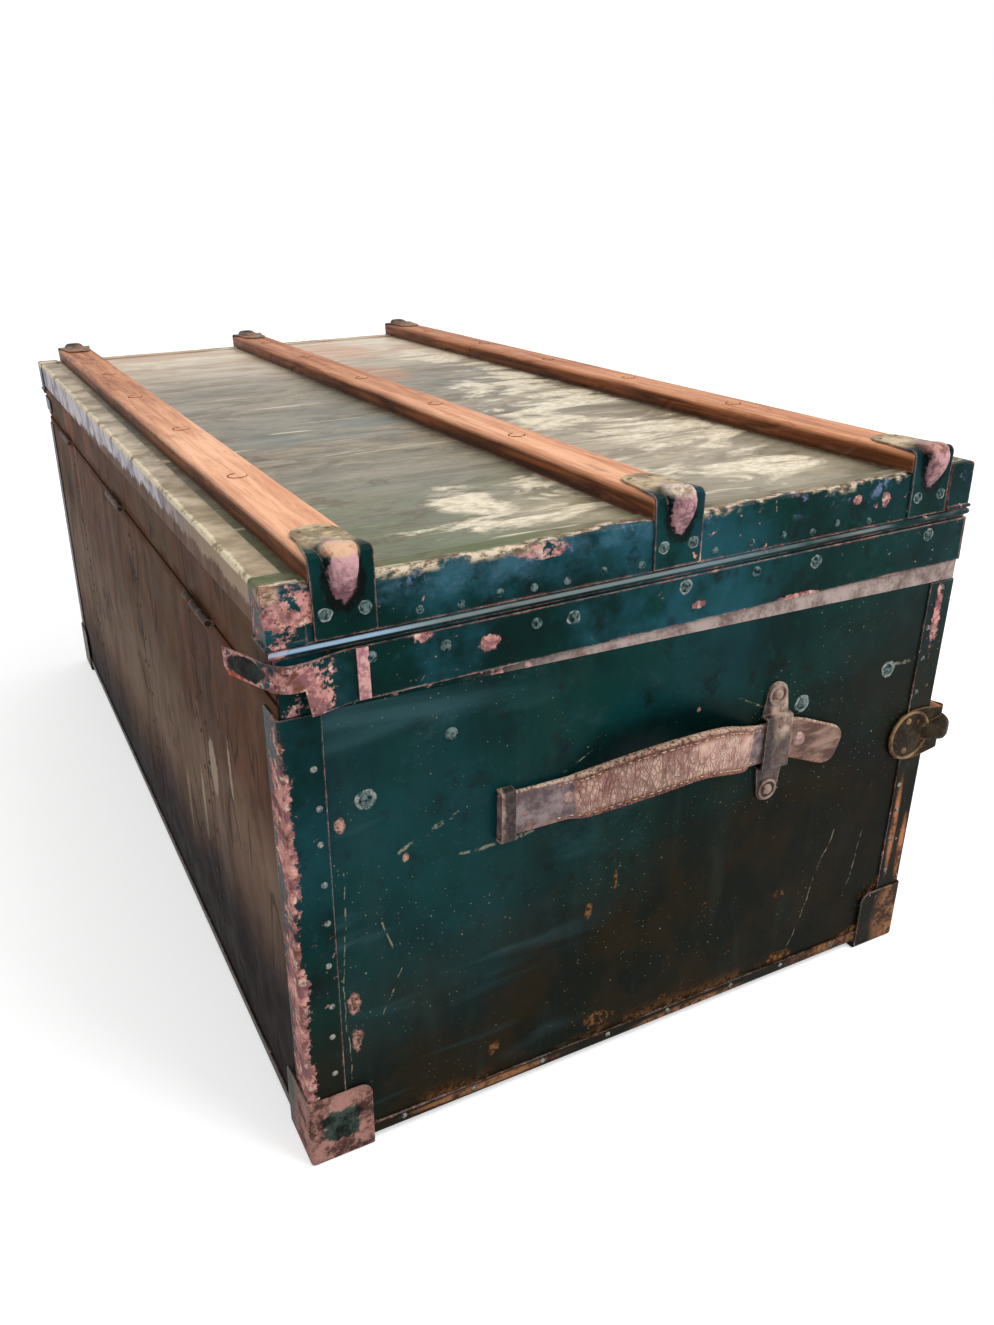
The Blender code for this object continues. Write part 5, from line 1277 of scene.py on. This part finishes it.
def clamp_tints():
    """Colours of the slat clamps: worn tongue, painted shade in the hollow round the nose, pink nose with
    an orange crest.
    """
    near, far = -HALF_L, HALF_L
    # Painted shade: near black in the hollow round each clamp's nose
    hollow_shade = [((x, y, LID_TOP + 0.004), (0.030, 0.0118, 0.0190)) for y in CLAMP_ROWS
               for x in (near - 0.006, far + 0.006)]
    crests = clamp_spots(near - 0.002, SLAT_TOP + 0.0035, (0.011, 0.0105, 0.0055))
    return [(clamp_spots(near + 0.030, SLAT_TOP + 0.0015, (0.026, 0.019, 0.004)), *TONGUE_TINT, 0.25),
            (clamp_spots(far - 0.030, SLAT_TOP + 0.0015, (0.034, 0.022, 0.006)), *BROWN_TINT, 0.25),
            (hollow_shade, *SHADE_TINT, 0.10),
            (clamp_spots(near - 0.009, LID_TOP + 0.0095, (0.030, 0.0084, 0.0178)), *NOSE_TINT, 0.08),
            *[([crest], *tint, 0.25) for crest, tint in zip(crests, CREST_TINTS)]]


looks = {
    "end": end_sheet("end_paint"),
    "binding_base": green_iron("binding_paint", False, 1.1, 0.5, BINDING_WEAR, BINDING_TINTS, low_shade=True),
    "shoe": green_iron("shoe_paint", False, 1.6, 0.3, SHOE_WEAR, SHOE_TINTS, low_shade=True),
    "pan": green_iron("pan_paint", False, 1.1, 0.3, tints=PAN_TINTS, low_shade=True),
    "valance": green_iron("valance_paint", True, 1.5, 0.2, VALANCE_WEAR, VALANCE_TINTS, (0.3, 1.4)),
    "clamp_lid": green_iron("clamp_paint", True, 1.6, 0.2, tints=clamp_tints()),
    "clamp_front": bare_iron("front_clamp_iron", False, (56, 46, 32), 0.2, *FRONT_CLAMP, 0.0),
    "binding_near": end_binding("end_binding_near", -1, NEAR_LID_WEAR, NEAR_LID_SHINE),
    "binding_far": end_binding("end_binding_far", 1, FAR_LID_WEAR, FAR_LID_SHINE),
    "binding_front": green_iron("front_binding_paint", True, 1.5, 0.3),
    "binding_back": back_binding("back_binding"),
    "back_base": back_sheet("back_sheet", False, 0.0020),
    "back_lid": back_sheet("back_sheet_lid", True, 0.0040),
    "front": green_iron("front_sheet_paint", False, 1.1, 0.2, blue=(0.3, 0.0), low_shade=True),
    "top": top_sheet("top_sheet"),
    "slat_lid": slat_wood("slat_wood", True, SLAT_TOP, "z"),
    "slat_front": slat_wood("slat_front_wood", False, -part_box("slat_front")[0].y, "y"),
    "slat_ring": simple("slat_ring", True, (84, 48, 30), (150, 98, 66), 300, 0.0001),
    "rim": rim_iron("rim_iron"),
    "iron_base": bare_iron("fitting_iron", False, (86, 66, 52), 0.4, metal=0.1),
    "iron_lid": bare_iron("fitting_iron_lid", True, (86, 66, 52), 0.4, metal=0.1),
    "loop": loop_iron("loop_iron"),
    "rivet_iron": bare_iron("rivet_iron", False, (150, 128, 118), 0.25, (84, 64, 58), EDGE_TAN, 0.1),
    "rivet_tan": bare_iron("rivet_tan", False, (140, 110, 74), 0.3, (58, 44, 30), EDGE_TAN, 0.1),
    "rivet_green": simple("rivet_paint", False, (8, 36, 38), (96, 114, 112), 330, 0.0001),
    "nail": simple("nail_iron", False, (44, 58, 60), (142, 138, 132), 500, 0.0001),
    "nail_dark": simple("nail_dark_iron", False, (28, 20, 18), (92, 74, 62), 500, 0.0001),
    "stud": bare_iron("stud_iron", False, (184, 156, 148), 0.05, (118, 90, 84), EDGE_TAN, 0.1),
    "wood_base": carcass_wood("carcass_wood", False),
    "wood_lid": carcass_wood("carcass_wood_lid", True),
    "wood_base_end": carcass_wood("carcass_wood_end", False, (1, 0.06, 1)),
    "wood_lid_end": carcass_wood("carcass_wood_lid_end", True, (1, 0.06, 1)),
    "chip": simple("chip_primer", False, (44, 72, 72), (142, 144, 140), 260, 0.0002),
    "primer_strip": simple("primer_strip", True, (148, 102, 106), (196, 150, 146), 260, 0.0003),
    "strap": strap_leather("strap_leather"),
    "thread": simple("strap_thread", False, (118, 78, 58), (212, 178, 138), 260, 0.0002),
}


# The finish of each node of the model, by how its name starts
NODE_LOOKS = (("base_board", "wood_base"), ("lid_board", "wood_lid"), ("base_sheet_near", "end"),
              ("base_sheet_far", "end"), ("base_sheet_front", "front"), ("base_sheet_back", "back_base"),
              ("bottom_pan", "pan"), ("rim_band", "rim"), ("corner_binding", "binding_base"),
              ("corner_cap", "shoe"), ("lid_sheet_top", "top"), ("lid_sheet_back", "back_lid"),
              ("lid_binding_near", "binding_near"), ("lid_binding_far", "binding_far"),
              ("lid_binding_front", "binding_front"), ("lid_binding_back", "binding_back"),
              ("valance", "valance"), ("slat_lid", "slat_lid"), ("slat_front", "slat_front"),
              ("clamp_lid", "clamp_lid"), ("clamp_front", "clamp_front"), ("handle_loop", "loop"),
              ("hinge_base", "iron_base"), ("hinge_lid", "iron_lid"), ("lock_plate", "iron_base"),
              ("hasp", "iron_lid"))


def dress_nodes():
    """Give every node of the model its finish; the grain of end boards runs the other way."""
    for node, obj in frame["nodes"].items():
        if node in ("handle_near", "handle_far"):
            continue
        look = next(look for start, look in NODE_LOOKS if node.startswith(start))
        if "_board_" in node and node.endswith(("near", "far")):
            look += "_end"
        for material_slot in obj.material_slots:
            material_slot.material = looks[look]


# Studio

def make_camera():
    """The photograph's camera."""
    data = bpy.data.cameras.new("camera")
    data.sensor_fit = "VERTICAL"
    data.sensor_height = SENSOR_HEIGHT
    data.sensor_width = SENSOR_HEIGHT * PHOTO_SIZE[0] / PHOTO_SIZE[1]
    data.lens = FOCAL_PIXELS * SENSOR_HEIGHT / PHOTO_SIZE[1]
    data.clip_start, data.clip_end = 0.02, 60.0
    camera = bpy.data.objects.new("camera", data)
    bpy.context.scene.collection.objects.link(camera)
    ahead = CAMERA_AHEAD.normalized()
    right = (CAMERA_RIGHT - ahead * CAMERA_RIGHT.dot(ahead)).normalized()
    up = right.cross(ahead)
    turn = Matrix((right, up, -ahead)).transposed().to_4x4()
    camera.matrix_world = Matrix.Translation(CAMERA_PLACE) @ turn
    bpy.context.scene.camera = camera


def seen_directly(tree):
    """1 for camera, glossy and transmission rays."""
    path = tree.nodes.new("ShaderNodeLightPath")
    total = path.outputs["Is Camera Ray"]
    for name in ("Is Glossy Ray", "Is Transmission Ray"):
        add = tree.nodes.new("ShaderNodeMath")
        add.operation = "MAXIMUM"
        tree.links.new(total, add.inputs[0])
        tree.links.new(path.outputs[name], add.inputs[1])
        total = add.outputs[0]
    return total


def make_world():
    """Soft even light, seen as white."""
    world = bpy.data.worlds.new("studio")
    bpy.context.scene.world = world
    world.use_nodes = True
    tree = world.node_tree
    tree.nodes.clear()
    lamp = tree.nodes.new("ShaderNodeBackground")
    lamp.inputs["Strength"].default_value = WORLD_STRENGTH
    shown = tree.nodes.new("ShaderNodeBackground")
    mix = tree.nodes.new("ShaderNodeMixShader")
    out = tree.nodes.new("ShaderNodeOutputWorld")
    for node in (lamp, shown):
        node.inputs["Color"].default_value = WHITE
    tree.links.new(seen_directly(tree), mix.inputs[0])
    tree.links.new(lamp.outputs[0], mix.inputs[1])
    tree.links.new(shown.outputs[0], mix.inputs[2])
    tree.links.new(mix.outputs[0], out.inputs[0])


def make_floor():
    """A pale floor that shows white where the trunk's shadow doesn't fall."""
    mesh = bpy.data.meshes.new("floor")
    h = FLOOR_HALF
    mesh.from_pydata([(-h, -h, 0), (h, -h, 0), (h, h, 0), (-h, h, 0)], [], [(0, 1, 2, 3)])
    floor = bpy.data.objects.new("floor", mesh)
    bpy.context.scene.collection.objects.link(floor)
    mat = bpy.data.materials.new("floor_pale")
    mat.use_nodes = True
    tree = mat.node_tree
    tree.nodes.clear()
    matt = tree.nodes.new("ShaderNodeBsdfDiffuse")
    matt.inputs["Color"].default_value = FLOOR_COLOUR
    glow = tree.nodes.new("ShaderNodeEmission")
    strength = tree.nodes.new("ShaderNodeMath")
    strength.operation = "MULTIPLY"
    strength.inputs[1].default_value = FLOOR_GLOW
    both = tree.nodes.new("ShaderNodeAddShader")
    out = tree.nodes.new("ShaderNodeOutputMaterial")
    tree.links.new(seen_directly(tree), strength.inputs[0])
    tree.links.new(strength.outputs[0], glow.inputs["Strength"])
    tree.links.new(matt.outputs[0], both.inputs[0])
    tree.links.new(glow.outputs[0], both.inputs[1])
    tree.links.new(both.outputs[0], out.inputs[0])
    mesh.materials.append(mat)


def make_lamp(name, place, target, size, power):
    """A soft square lamp aimed at a point."""
    data = bpy.data.lights.new(name, "AREA")
    data.size = size
    data.energy = power
    lamp = bpy.data.objects.new(name, data)
    bpy.context.scene.collection.objects.link(lamp)
    ahead = Vector(target) - Vector(place)
    lamp.matrix_world = Matrix.Translation(place) @ ahead.to_track_quat("-Z", "Y").to_matrix().to_4x4()


make_camera()
make_world()
make_floor()
make_lamp("lamp_key", (-1.8, -1.2, 2.4), (0, 0, 0.2), 1.6, 60)
dress_nodes()
near_far(end_rivets)
slat_nails()
make_back_sheet()
back_nails()
for maker in (valance_laps, front_clamp_details, loop_details, make_strap, strap_stitches, strap_studs):
    near_far(maker)

bpy.context.scene.view_settings.view_transform = "Standard"
